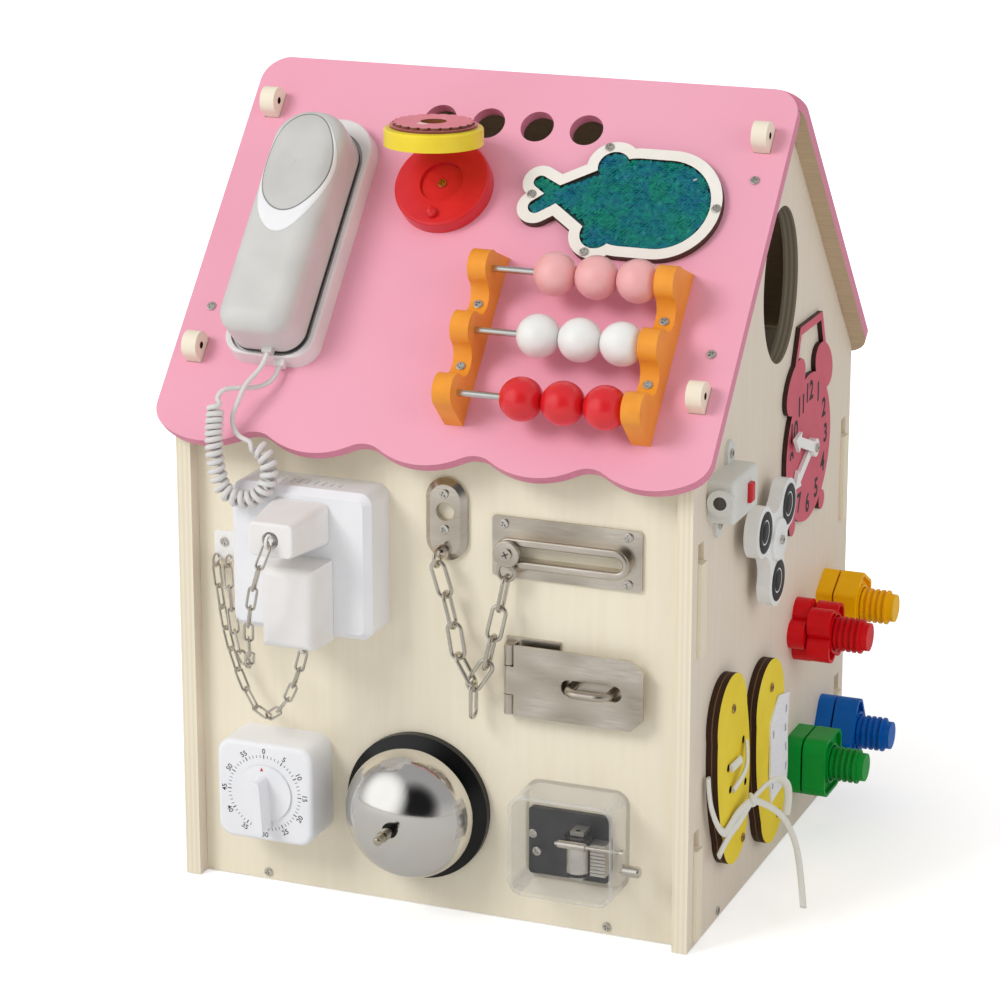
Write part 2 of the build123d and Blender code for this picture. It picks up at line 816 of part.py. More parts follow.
print("least gap between curls", round(nearest - CORD, 2))
print("curl volume share", round(phone_coil_cord.part.volume / (pi * CORD**2 / 4) / curl_length, 4))
keep(phone_coil_cord, "phone_coil_cord")

# Make-up compact: a round base on the roof and a hinged lid with a layered topper
compact = spot(front_slope, COMPACT_ACROSS, -COMPACT_DOWN)
compact_hinge_up = COMPACT_BASE / 2 + COMPACT_HINGE_OUT
compact_hinge_out = COMPACT_BASE_TALL + COMPACT_GAP
compact_axis = compact.from_local_coords((0, compact_hinge_up, compact_hinge_out))
ear_inner = COMPACT_KNUCKLE / 2 + COMPACT_GAP
ear_middle = ear_inner + COMPACT_EAR / 2

with BuildPart() as compact_base:
    with BuildSketch(compact):
        Circle(COMPACT_BASE / 2)
    extrude(amount=COMPACT_BASE_TALL)
    fillet(compact_base.edges().group_by(roof_height)[-1], COMPACT_EDGE)
    with BuildSketch(spot(compact, 0, 0, COMPACT_BASE_TALL)):
        Circle(COMPACT_WELL / 2)
    extrude(amount=-COMPACT_WELL_DEEP, mode=Mode.SUBTRACT)
    with Locations(spot(compact, 0, -COMPACT_PEG_DOWN, COMPACT_BASE_TALL + COMPACT_PEG / 4)):
        Sphere(COMPACT_PEG / 2)
    for hand in (-1, 1):
        with BuildSketch(Plane(compact_axis + Vector(hand * ear_middle, 0, 0), compact.y_dir, (1, 0, 0))):
            Circle(COMPACT_KNUCKLE_ROUND)
            with Locations((-COMPACT_KNUCKLE_ROUND / 2, -compact_hinge_out / 2)):
                Rectangle(3 * COMPACT_KNUCKLE_ROUND, compact_hinge_out)
        extrude(amount=COMPACT_EAR / 2, both=True)
    with BuildSketch(Plane(compact_axis, compact.y_dir, (1, 0, 0))):
        Circle(COMPACT_KNUCKLE_ROUND + COMPACT_GAP)
    extrude(amount=ear_inner, both=True, mode=Mode.SUBTRACT)
    with BuildSketch(Plane(compact_axis, compact.y_dir, (1, 0, 0))):
        Circle(COMPACT_PIN / 2)
    extrude(amount=ear_middle, both=True)
keep(compact_base, "compact_base")

lid = Plane(compact_axis, (1, 0, 0), (0, 0, 1))
lid_middle = spot(lid, 0, -compact_hinge_up)

with BuildPart() as compact_lid:
    with BuildSketch(lid_middle):
        Circle(COMPACT_LID / 2)
    extrude(amount=COMPACT_LID_TALL)
    fillet(compact_lid.edges().group_by(Axis.Z)[-1], COMPACT_EDGE)
    with BuildSketch(lid_middle):
        Circle(COMPACT_LID_WELL / 2)
    extrude(amount=COMPACT_LID_WELL_DEEP, mode=Mode.SUBTRACT)
    for hand in (-1, 1):
        with BuildSketch(Plane(compact_axis + Vector(hand * ear_middle, 0, 0), (0, 1, 0), (1, 0, 0))):
            Circle(COMPACT_KNUCKLE_ROUND + COMPACT_GAP)
        extrude(amount=COMPACT_EAR / 2 + COMPACT_GAP, both=True, mode=Mode.SUBTRACT)
    with BuildSketch(Plane(compact_axis, (0, 1, 0), (1, 0, 0))):
        Circle(COMPACT_KNUCKLE_ROUND)
        with Locations((-COMPACT_KNUCKLE_ROUND, COMPACT_KNUCKLE_ROUND / 2)):
            Rectangle(2 * COMPACT_KNUCKLE_ROUND, COMPACT_KNUCKLE_ROUND)
    extrude(amount=COMPACT_KNUCKLE / 2, both=True)
    with BuildSketch(Plane(compact_axis, (0, 1, 0), (1, 0, 0))):
        Circle(COMPACT_PIN / 2 + PIN_FIT)
    extrude(amount=COMPACT_KNUCKLE, both=True, mode=Mode.SUBTRACT)
    with BuildSketch(spot(lid_middle, 0, 0, COMPACT_LID_TALL)):
        Circle(TOPPER_BUN / 2)
        Circle(TOPPER_HOLE / 2, mode=Mode.SUBTRACT)
    extrude(amount=TOPPER_LAYER)
    with BuildSketch(spot(lid_middle, 0, 0, COMPACT_LID_TALL + TOPPER_LAYER)):
        Circle(TOPPER_ICING / 2 - TOPPER_WAVE)
        with PolarLocations(TOPPER_ICING / 2 - TOPPER_WAVE, TOPPER_WAVES):
            Circle(TOPPER_WAVE)
        Circle(TOPPER_HOLE / 2, mode=Mode.SUBTRACT)
    extrude(amount=TOPPER_LAYER)
keep(compact_lid, "compact_lid")

# Fish: a flat frame screwed to the roof round a sequin-covered insert
fish = spot(front_slope, FISH_ACROSS, -FISH_DOWN)


def fish_taper(start, end, grow):
    """Two circles, each given by its place and radius, and the straight sides that touch both."""
    reach = hypot(end[0] - start[0], end[1] - start[1])
    way = atan2(end[1] - start[1], end[0] - start[0])
    lean = acos((start[2] - end[2]) / reach)
    corners = []
    for middle, turn in ((start, lean), (end, lean), (end, -lean), (start, -lean)):
        radius = middle[2] + grow
        corners.append((middle[0] + radius * cos(way + turn), middle[1] + radius * sin(way + turn)))
    Polygon(*corners, align=None)
    for middle in (start, end):
        with Locations((middle[0], middle[1])):
            Circle(middle[2] + grow)


def fish_shape(grow):
    """The fish's window, made larger all round: a body, two round fins and a forked tail."""
    fish_taper(FISH_NOSE, FISH_BELLY, grow)
    fish_taper(FISH_BELLY, FISH_NECK, grow)
    for tail in FISH_TAILS:
        fish_taper(FISH_NECK, tail, grow)
    for fin in FISH_FINS:
        with Locations((fin[0], fin[1])):
            Circle(fin[2] + grow)


with BuildPart() as fish_frame:
    with BuildSketch(fish):
        fish_shape(FISH_RIM)
    extrude(amount=FISH_THICK)
    with BuildSketch(fish):
        fish_shape(0)
    extrude(amount=FISH_THICK, mode=Mode.SUBTRACT)
keep(fish_frame, "fish_frame")

with BuildPart() as fish_sequins:
    with BuildSketch(fish):
        fish_shape(-SEQUIN_FIT)
    extrude(amount=SEQUIN_DEEP)
keep(fish_sequins, "fish_sequins")

# Abacus: two wavy rails, three rods and nine beads
bead_step = BEAD_WIDE + BEAD_GAP
rail_inner = LAST_BEAD_ACROSS + BEAD_WIDE / 2 + BEAD_GAP
rail_right = rail_inner + RAIL_THICK / 2
rod_downs = [ABACUS_TOP_ROD + i * ROD_STEP for i in range(3)]
lobe = ROD_STEP / 4


with BuildPart() as abacus_frame:
    rail_start = rod_downs[0] - RAIL_UPPER_END
    rail_stop = rod_downs[-1] + RAIL_LOWER_END
    for across in (RAIL_LEFT, rail_right):
        rail_foot = front_slope.from_local_coords((across, 0, 0))
        with BuildSketch(Plane(rail_foot, -front_slope.y_dir, (-1, 0, 0))):
            Polygon(
                (rail_start, 0),
                (rod_downs[0] - lobe, RAIL_TOP - lobe),
                (rod_downs[-1] + lobe, RAIL_TOP - lobe),
                (rail_stop, 0),
                align=None,
            )
            with Locations(*[(down, RAIL_TOP - lobe) for down in rod_downs]):
                Circle(lobe)
            with Locations(*[(down + ROD_STEP / 2, RAIL_VALLEY + lobe) for down in rod_downs[:2]]):
                Circle(lobe, mode=Mode.SUBTRACT)
        extrude(amount=RAIL_THICK / 2, both=True)
    for down in rod_downs:
        with BuildSketch(Plane(front_slope.from_local_coords((RAIL_LEFT, -down, ROD_UP)), z_dir=(1, 0, 0))):
            Circle(ROD / 2)
        extrude(amount=rail_right - RAIL_LEFT)
keep(abacus_frame, "abacus_frame")


def bead(row, place):
    """A round bead on its rod, with flats where it meets its neighbours."""
    across = LAST_BEAD_ACROSS - (2 - place) * bead_step
    middle = front_slope.from_local_coords((across, -rod_downs[row], ROD_UP))
    hole = ROD / 2 + BEAD_FIT
    flat = sqrt(BEAD**2 - BEAD_WIDE**2) / 2
    with BuildPart() as ball:
        with BuildSketch(Plane(middle, (1, 0, 0), (0, -1, 0))):
            with BuildLine():
                Polyline(
                    (-BEAD_WIDE / 2, flat),
                    (-BEAD_WIDE / 2, hole),
                    (BEAD_WIDE / 2, hole),
                    (BEAD_WIDE / 2, flat),
                )
                ThreePointArc((BEAD_WIDE / 2, flat), (0, BEAD / 2), (-BEAD_WIDE / 2, flat))
            make_face()
        revolve(axis=Axis(middle, (1, 0, 0)))
    return ball


for row, colour in enumerate(("pink", "white", "red")):
    for place in range(3):
        keep(bead(row, place), f"bead_{colour}_{place + 1}")

# Wall socket with two plugs that pull straight out
socket = spot(front, SOCKET_ACROSS, SOCKET_UP)
socket_face = spot(socket, 0, 0, SOCKET_DEEP)
small_plug_back = spot(socket, SMALL_PLUG_ACROSS, SMALL_PLUG_UP, SOCKET_DEEP + PLUG_GAP)
small_plug_front = spot(small_plug_back, 0, 0, SMALL_PLUG_DEEP)
large_plug_back = spot(socket, LARGE_PLUG_ACROSS, LARGE_PLUG_UP, SOCKET_DEEP + PLUG_GAP)
vents = int(2 * VENT_SPREAD / VENT_STEP)
outward = Axis(front.origin, front.z_dir)


def plug_pins(gap):
    """The plugs' flat pins, or their holes when a gap is given, in the socket's own plane."""
    wide = PIN_WIDE + 2 * gap
    tall = PIN_TALL + 2 * gap
    for hand in (-1, 1):
        with Locations((SMALL_PLUG_ACROSS + hand * SMALL_PIN_STEP / 2, SMALL_PLUG_UP)):
            Rectangle(wide, tall)
        pin_across = LARGE_PLUG_ACROSS + hand * LARGE_PIN_STEP / 2
        lean = Location((pin_across, LARGE_PLUG_UP - LARGE_PIN_UP, 0), (0, 0, hand * 30))
        with Locations(lean):
            Rectangle(wide, tall)
    with Locations((LARGE_PLUG_ACROSS, LARGE_PLUG_UP + LARGE_PIN_UP)):
        Rectangle(wide, tall)


with BuildPart() as socket_box:
    with BuildSketch(socket):
        RectangleRounded(SOCKET_SIDE, SOCKET_SIDE, SOCKET_ROUND)
    extrude(amount=SOCKET_DEEP)
    chamfer(socket_box.edges().group_by(outward)[-1], SOCKET_EDGE)
    with BuildSketch(socket_face):
        plug_pins(PIN_CLEAR)
    extrude(amount=-PIN_LONG - PIN_CLEAR, mode=Mode.SUBTRACT)
    top_middle = socket.from_local_coords((0, SOCKET_SIDE / 2, SOCKET_DEEP / 2))
    with BuildSketch(Plane(top_middle, (1, 0, 0), (0, 0, 1))):
        with GridLocations(VENT_STEP, 1, vents, 1):
            SlotOverall(VENT_LONG, VENT_WIDE, rotation=90)
    extrude(amount=-VENT_DEEP, mode=Mode.SUBTRACT)
keep(socket_box, "socket_box")

with BuildPart() as small_plug:
    with BuildSketch(small_plug_back):
        RectangleRounded(SMALL_PLUG_BACK_WIDE, SMALL_PLUG_BACK_TALL, PLUG_ROUND)
    with BuildSketch(small_plug_front):
        RectangleRounded(SMALL_PLUG_FRONT_WIDE, SMALL_PLUG_FRONT_TALL, PLUG_ROUND)
    loft()
    fillet(small_plug.edges().group_by(outward)[-1], PLUG_EDGE)
    with BuildSketch(small_plug_front):
        Circle(PLUG_EYE_HOLE / 2)
    extrude(amount=-PLUG_EYE_DEEP, mode=Mode.SUBTRACT)
    with BuildSketch(small_plug_back):
        for hand in (-1, 1):
            with Locations((hand * SMALL_PIN_STEP / 2, 0)):
                Rectangle(PIN_WIDE, PIN_TALL)
    extrude(amount=-PIN_LONG)
    eye_middle = small_plug_front.from_local_coords((0, 0, EYE - EYE_WIRE))
    with BuildSketch(Plane(eye_middle, (0, -1, 0), (0, 0, 1))):
        with Locations((EYE, 0)):
            Circle(EYE_WIRE / 2)
    revolve(axis=Axis(eye_middle, (1, 0, 0)))
    with BuildSketch(spot(small_plug_front, 0, 0, -PLUG_EYE_DEEP - 1)):
        Circle(EYE_WIRE)
    extrude(amount=PLUG_EYE_DEEP + 1 - EYE_WIRE / 2)
keep(small_plug, "small_plug")

with BuildPart() as large_plug:
    plug_low = large_plug_back.from_local_coords((0, -LARGE_PLUG_TALL / 2, 0))
    half = LARGE_PLUG_WIDE / 2
    with BuildSketch(Plane(plug_low, (1, 0, 0), (0, 0, 1))):
        with BuildLine():
            Polyline(
                (-half, 0),
                (half, 0),
                (half - LARGE_PLUG_TAPER, -LARGE_PLUG_DEEP),
                (-half + LARGE_PLUG_SLANT, -LARGE_PLUG_DEEP),
                close=True,
            )
        make_face()
    extrude(amount=LARGE_PLUG_TALL)
    fillet(large_plug.edges().group_by(outward)[-1], LARGE_PLUG_ROUND)
    with BuildSketch(large_plug_back):
        for hand in (-1, 1):
            with Locations(Location((hand * LARGE_PIN_STEP / 2, -LARGE_PIN_UP, 0), (0, 0, hand * 30))):
                Rectangle(PIN_WIDE, PIN_TALL)
        with Locations((0, LARGE_PIN_UP)):
            Rectangle(PIN_WIDE, PIN_TALL)
    extrude(amount=-PIN_LONG)
    eye_up = -LARGE_PLUG_TALL / 2 - EYE / 2
    large_eye = large_plug_back.from_local_coords((LARGE_EYE_ACROSS, eye_up, LARGE_PLUG_DEEP / 2))
    with BuildSketch(Plane(large_eye, (0, 0, 1), (0, 1, 0))):
        with Locations((EYE, 0)):
            Circle(EYE_WIRE / 2)
    revolve(axis=Axis(large_eye, (1, 0, 0)))
keep(large_plug, "large_plug")


# Chains: equal links along a hanging line, each turned a quarter from the last
def link_frames(joints, first_across, twist):
    """Each link's middle, heading and width direction, with a small even twist from link to link."""
    frames = []
    across = Vector(first_across)
    for start, stop in zip(joints, joints[1:]):
        way = (stop - start).normalized()
        across = (across - way * across.dot(way)).normalized()
        across = across * cos(twist) + way.cross(across) * sin(twist)
        frames.append(((start + stop) / 2, way, across))
        across = way.cross(across)
    return frames


def chain(points, count, wide, wire, slack, first_across, last_across, loose=False):
    """A chain whose first and last links suit their eyes, with a loose link at its lowest point if asked."""
    hang = Spline(*points)
    joints = [hang @ (i / count) for i in range(count + 1)]
    spacing = (joints[1] - joints[0]).length
    bend = (wide - wire) / 2
    arm = (spacing + wire + slack) / 2 - bend
    with BuildPart() as one:
        with BuildLine() as loop:
            Line((-arm, -bend), (arm, -bend))
            ThreePointArc((arm, -bend), (arm + bend, 0), (arm, bend))
            Line((arm, bend), (-arm, bend))
            ThreePointArc((-arm, bend), (-arm - bend, 0), (-arm, -bend))
        with BuildSketch(Plane((0, -bend, 0), z_dir=(1, 0, 0))):
            Circle(wire / 2)
        sweep(path=loop.wire())
    middle, way, across = link_frames(joints, first_across, 0.0)[-1]
    wanted = Vector(last_across)
    off = atan2(way.cross(across).dot(wanted), across.dot(wanted))
    off -= pi * round(off / pi)
    frames = link_frames(joints, first_across, off / count)
    if loose:
        lowest = min(joints, key=lambda joint: joint.Z)
        frames.append((lowest - Vector(0, 0, spacing / 2), Vector(0, 0, -1), Vector(0, 1, 0)))
    links = []
    for middle, way, across in frames:
        links.append(one.part.moved(Plane(middle, way, way.cross(across)).location))
    with BuildPart() as made:
        add(links)
    print("chain links", count, "in solids", len(made.part.solids()))
    print("link spacing", round(spacing, 2), "twist", round(degrees(off)))
    return made


bracket = spot(front, BRACKET_ACROSS, BRACKET_UP)
small_hook = bracket.from_local_coords((BRACKET_EYE_STEP / 2, -BRACKET_TALL / 2, HOOK_OUT))
large_hook = bracket.from_local_coords((-BRACKET_EYE_STEP / 2, -BRACKET_TALL / 2, HOOK_OUT))
hook_reach = EYE - (LINK_WIRE + LINK_SLACK) / 2
small_plug_eye = eye_middle + Vector(0, -0.6, -0.8) * hook_reach
large_plug_eye = large_eye + Vector(0, 0, -1) * hook_reach
small_chain_route = [
    small_hook + Vector(0, -0.6, -0.8) * hook_reach,
    front.from_local_coords((-119.0, 172.0, 17.0)),
    front.from_local_coords((-108.0, 150.0, 29.0)),
    front.from_local_coords((-96.0, 149.0, 43.0)),
    front.from_local_coords((-87.0, 168.0, 60.0)),
    front.from_local_coords((-78.0, 200.0, 74.0)),
    small_plug_eye,
]
small_plug_chain = chain(
    small_chain_route,
    SMALL_LINKS,
    LINK_WIDE,
    LINK_WIRE,
    LINK_SLACK,
    (1, 0, 0),
    (1, 0, 0),
)
keep(small_plug_chain, "small_plug_chain")
large_chain_route = [
    large_hook + Vector(0, 0, -1) * hook_reach,
    front.from_local_coords((-128.0, 160.0, 8.0)),
    front.from_local_coords((-113.0, 124.0, 14.0)),
    front.from_local_coords((-97.0, 111.0, 22.0)),
    front.from_local_coords((-82.0, 121.0, 30.0)),
    front.from_local_coords((-69.0, 142.0, 38.0)),
    large_plug_eye,
]
large_plug_chain = chain(
    large_chain_route,
    LARGE_LINKS,
    LINK_WIDE,
    LINK_WIRE,
    LINK_SLACK,
    (1, 0, 0),
    (1, 0, 0),
)
keep(large_plug_chain, "large_plug_chain")

# Door chain: a holder, a slotted track with a knob, a hanging chain, and the bracket for the plug chains
holder = spot(front, HOLDER_ACROSS, HOLDER_UP)
track = spot(front, TRACK_ACROSS, TRACK_UP)
slot = spot(track, TRACK_RIM_ACROSS, TRACK_RIM_UP, TRACK_THICK)
rim_out = TRACK_THICK + TRACK_RIM_PROUD
knob_across = TRACK_RIM_ACROSS - TRACK_SLOT_WIDE / 2 + KNOB_NECK / 2 + KNOB_SIDE
knob = spot(track, knob_across, TRACK_RIM_UP, rim_out + KNOB_GAP)
nub = spot(holder, HOLDER_NUB_ACROSS, -HOLDER_NUB_DOWN, HOLDER_THICK)
holder_eye = nub.from_local_coords((0, -EYE / 2, HOLDER_EYE_OUT))
knob_eye = knob.from_local_coords((0, -KNOB / 2 - DOOR_EYE / 2, KNOB_TALL / 2))

with BuildPart() as door_chain_plates:
    with BuildSketch(holder):
        SlotOverall(HOLDER_TALL, HOLDER_WIDE, rotation=90)
    extrude(amount=HOLDER_THICK)
    chamfer(door_chain_plates.edges().group_by(outward)[-1], HOLDER_BEVEL, HOLDER_BEVEL_WIDE)
    with BuildSketch(spot(holder, 0, HOLDER_HOLE_UP)):
        Circle(HOLDER_HOLE / 2)
    extrude(amount=HOLDER_THICK, mode=Mode.SUBTRACT)
    with Locations(nub):
        Sphere(HOLDER_NUB / 2)
    with BuildSketch(Plane(holder_eye, (0, -1, 0), (0, 0, 1))):
        with Locations((DOOR_EYE, 0)):
            Circle(DOOR_LINK_WIRE / 2)
    revolve(axis=Axis(holder_eye, (1, 0, 0)))
    with BuildSketch(track):
        RectangleRounded(TRACK_WIDE, TRACK_TALL, TRACK_ROUND)
    extrude(amount=TRACK_THICK)
    with BuildSketch(slot):
        SlotOverall(TRACK_RIM_WIDE, TRACK_RIM_TALL)
    extrude(amount=TRACK_RIM_PROUD)
    with BuildSketch(spot(slot, 0, 0, -TRACK_THICK)):
        SlotOverall(TRACK_SLOT_WIDE, TRACK_SLOT_TALL)
    extrude(amount=rim_out, mode=Mode.SUBTRACT)
    rim_edges = door_chain_plates.edges().filter_by_position(outward, rim_out - 0.1, rim_out + 0.1)
    fillet(rim_edges, TRACK_RIM_EDGE)
    with BuildSketch(bracket):
        RectangleRounded(BRACKET_WIDE, BRACKET_TALL, TRACK_ROUND)
    extrude(amount=BRACKET_THICK)
    for hook in (small_hook, large_hook):
        with BuildSketch(Plane(hook, (0, -1, 0), (0, 0, 1))):
            with Locations((EYE, 0)):
                Circle(EYE_WIRE / 2)
        revolve(axis=Axis(hook, (1, 0, 0)))
keep(door_chain_plates, "door_chain_plates")

with BuildPart() as slide_knob:
    with BuildSketch(knob):
        Circle(KNOB / 2)
    extrude(amount=KNOB_TALL)
    fillet(slide_knob.edges().group_by(outward)[-1], KNOB_TALL / 3)
    with BuildSketch(spot(knob, 0, 0, KNOB_TALL)):
        Circle(KNOB_SCREW / 2)
    extrude(amount=KNOB_TALL / 2)
    with BuildSketch(knob):
        Circle(KNOB_NECK / 2)
    extrude(amount=-KNOB_GAP - TRACK_RIM_PROUD + KNOB_SIDE)
    with BuildSketch(Plane(knob_eye, (0, 0, 1), (1, 0, 0))):
        with Locations((DOOR_EYE, 0)):
            Circle(KNOB_TALL / 2 - 0.1)
    revolve(axis=Axis(knob_eye, (0, 1, 0)))
keep(slide_knob, "slide_knob")

door_reach = DOOR_EYE - (DOOR_LINK_WIRE + LINK_SLACK) / 2
door_chain_route = [
    holder_eye + Vector(0, -0.3, -0.95) * door_reach,
    front.from_local_coords((13, 190, 11)),
    front.from_local_coords((18, 168, 11)),
    front.from_local_coords((24, 148, 11)),
    front.from_local_coords((31.5, 142, 11)),
    front.from_local_coords((36, 155, 11)),
    front.from_local_coords((42, 178, 12)),
    knob_eye + Vector(0, 0, -1) * door_reach,
]
door_chain = chain(
    door_chain_route,
    DOOR_LINKS,
    DOOR_LINK_WIDE,
    DOOR_LINK_WIRE,
    DOOR_SLACK,
    (1, 0, 0),
    (0, 1, 0),
    loose=True,
)
keep(door_chain, "door_chain")

# Hasp: a leaf and staple on the wall, a slotted cover that swings on a pin
hasp = spot(front, HASP_LEFT + HASP_KNUCKLE, TRACK_UP - HASP_BELOW_TRACK)
hasp_axis = hasp.from_local_coords((0, 0, HASP_AXIS_OUT))
hasp_section = Plane(hasp_axis, (1, 0, 0), (0, 0, 1))
outer_knuckle = (HASP_TALL - HASP_KNUCKLE_TALL) / 2
outer_middle = HASP_KNUCKLE_TALL / 2 + outer_knuckle / 2
staple = spot(hasp, HASP_SLOT_ACROSS - HASP_KNUCKLE, 0)
cover_under = HASP_AXIS_OUT + HASP_KNUCKLE - HASP_THICK

with BuildPart() as hasp_base:
    with BuildSketch(spot(hasp, HASP_LEAF_LONG / 2 - HASP_KNUCKLE, HASP_LEAF_UP)):
        Rectangle(HASP_LEAF_LONG, HASP_LEAF_TALL)
    extrude(amount=HASP_THICK)
    for hand in (-1, 1):
        with BuildSketch(hasp_section.offset(hand * outer_middle)):
            Circle(HASP_KNUCKLE)
            with Locations((0, HASP_AXIS_OUT / 2)):
                Rectangle(2 * HASP_KNUCKLE, HASP_AXIS_OUT)
        extrude(amount=outer_knuckle / 2 - HASP_KNUCKLE_GAP, both=True)
    with BuildSketch(hasp_section):
        Circle(HASP_PIN / 2)
    extrude(amount=HASP_TALL / 2, both=True)
    with BuildSketch(staple):
        RectangleRounded(STAPLE_PLATE_WIDE, STAPLE_PLATE_TALL, TRACK_ROUND)
    extrude(amount=HASP_THICK)
    leg = (STAPLE_WIDE - STAPLE_WIRE) / 2
    with BuildLine(Plane(staple.origin, (1, 0, 0), (0, 0, 1))) as bow:
        FilletPolyline((-leg, 0), (-leg, -STAPLE_PROUD), (leg, -STAPLE_PROUD), (leg, 0), radius=STAPLE_BEND)
    with BuildSketch(spot(staple, -leg, 0)):
        Circle(STAPLE_WIRE / 2)
    sweep(path=bow.wire())
keep(hasp_base, "hasp_base")

with BuildPart() as hasp_cover:
    cover_start = HASP_KNUCKLE + HASP_KNUCKLE_GAP + 0.1
    cover_stop = HASP_LONG - HASP_KNUCKLE
    half = HASP_TALL / 2
    with BuildSketch(spot(hasp, 0, 0, cover_under)):
        with BuildLine():
            Polyline(
                (cover_start, -half),
                (cover_stop - HASP_CHAMFER, -half),
                (cover_stop, -half + HASP_CHAMFER),
                (cover_stop, half - HASP_CHAMFER),
                (cover_stop - HASP_CHAMFER, half),
                (cover_start, half),
                close=True,
            )
        make_face()
        with Locations((cover_start / 2, 0)):
            Rectangle(cover_start, HASP_KNUCKLE_TALL - 2 * HASP_KNUCKLE_GAP)
        with Locations((HASP_SLOT_ACROSS - HASP_KNUCKLE, 0)):
            SlotOverall(HASP_SLOT_LONG, HASP_SLOT_TALL, mode=Mode.SUBTRACT)
    extrude(amount=HASP_THICK)
    with BuildSketch(hasp_section):
        Circle(HASP_KNUCKLE)
    extrude(amount=HASP_KNUCKLE_TALL / 2 - HASP_KNUCKLE_GAP, both=True)
    with BuildSketch(hasp_section):
        Circle(HASP_PIN / 2 + PIN_FIT)
    extrude(amount=HASP_KNUCKLE_TALL, both=True, mode=Mode.SUBTRACT)
keep(hasp_cover, "hasp_cover")

# Kitchen timer: a white case with a dial that turns
timer = spot(front, TIMER_ACROSS, TIMER_UP)
timer_face = spot(timer, 0, 0, TIMER_DEEP)

with BuildPart() as timer_case:
    with BuildSketch(timer):
        RectangleRounded(TIMER_SIDE, TIMER_SIDE, TIMER_ROUND)
    extrude(amount=TIMER_DEEP)
    fillet(timer_case.edges().group_by(outward)[-1], TIMER_EDGE)
    with BuildSketch(timer_face):
        Circle(DIAL_SHAFT / 2 + PIN_FIT)
    extrude(amount=-DIAL_SHAFT_LONG - 1, mode=Mode.SUBTRACT)
keep(timer_case, "timer_case")

with BuildPart() as timer_knob:
    dial = spot(timer_face, 0, 0, DIAL_GAP)
    with BuildSketch(dial):
        Circle(DIAL / 2)
    extrude(amount=DIAL_TALL)
    with BuildSketch(spot(dial, 0, 0, DIAL_TALL)):
        with Locations(Location((0, 0, 0), (0, 0, DIAL_TURN))):
            with Locations((0, -DIAL_BAR_DOWN)):
                SlotOverall(DIAL_BAR_LONG, DIAL_BAR_WIDE, rotation=90)
    extrude(amount=DIAL_BAR_TALL, taper=DIAL_BAR_DRAFT)
    with BuildSketch(dial):
        Circle(DIAL_SHAFT / 2)
    extrude(amount=-DIAL_GAP - DIAL_SHAFT_LONG)
keep(timer_knob, "timer_knob")

# Desk bell: black foot with a post, bright dome, and a plunger
bell = spot(front, BELL_ACROSS, BELL_UP)
bell_axis = Axis(bell.origin, bell.z_dir)
bell_section = Plane(bell.origin, (1, 0, 0), (0, 0, 1))
dome_reach = BELL_DOME / 2
dome_inside = BELL_DOME_TALL - BELL_DOME_WALL
shoulder = BELL_DOME_OUT + dome_inside * sqrt(1 - (BELL_POST / 2 / (dome_reach - BELL_DOME_WALL)) ** 2)
post_top = BELL_DOME_OUT + BELL_DOME_TALL + BELL_DOME_WALL
plunger_foot = post_top - BELL_PLUNGER_DEEP

with BuildPart() as bell_base:
    with BuildSketch(bell_section):
        with BuildLine():
            Polyline(
                (0, 0),
                (BELL_BASE / 2, 0),
                (BELL_BASE / 2, -BELL_BASE_LIP),
                (BELL_BASE_TOP / 2, -BELL_BASE_TALL),
                (BELL_POST / 2, -BELL_BASE_TALL),
                (BELL_POST / 2, -shoulder),
                (BELL_NECK / 2, -shoulder),
                (BELL_NECK / 2, -post_top),
                (0, -post_top),
                close=True,
            )
        make_face()
    revolve(axis=bell_axis)
    with BuildSketch(spot(bell, 0, 0, plunger_foot - BELL_TRAVEL - 1)):
        Circle(BELL_PLUNGER / 2 + BELL_PLUNGER_FIT)
    extrude(amount=BELL_PLUNGER_DEEP + BELL_TRAVEL + 2, mode=Mode.SUBTRACT)
keep(bell_base, "bell_base")

with BuildPart() as bell_dome:
    with BuildSketch(Plane(bell.from_local_coords((0, 0, BELL_DOME_OUT)), (1, 0, 0), (0, 0, 1))):
        Ellipse(dome_reach, BELL_DOME_TALL)
        Ellipse(dome_reach - BELL_DOME_WALL, dome_inside, mode=Mode.SUBTRACT)
        with Locations((dome_reach / 2, -BELL_DOME_TALL / 2)):
            Rectangle(dome_reach, BELL_DOME_TALL, mode=Mode.INTERSECT)
        with Locations((BELL_NECK / 4, -BELL_DOME_TALL / 2)):
            Rectangle(BELL_NECK / 2, BELL_DOME_TALL, mode=Mode.SUBTRACT)
    revolve(axis=bell_axis)
keep(bell_dome, "bell_dome")

with BuildPart() as bell_plunger:
    with BuildSketch(spot(bell, 0, 0, plunger_foot)):
        Circle(BELL_PLUNGER / 2)
    extrude(amount=BELL_PLUNGER_DEEP + BELL_PLUNGER_PROUD)
    with BuildSketch(spot(bell, 0, 0, post_top + BELL_TRAVEL + 1)):
        Circle(BELL_BUTTON / 2)
    extrude(amount=BELL_BUTTON_TALL)
    fillet(bell_plunger.edges().group_by(outward)[-1], BELL_PLUNGER / 3)
keep(bell_plunger, "bell_plunger")

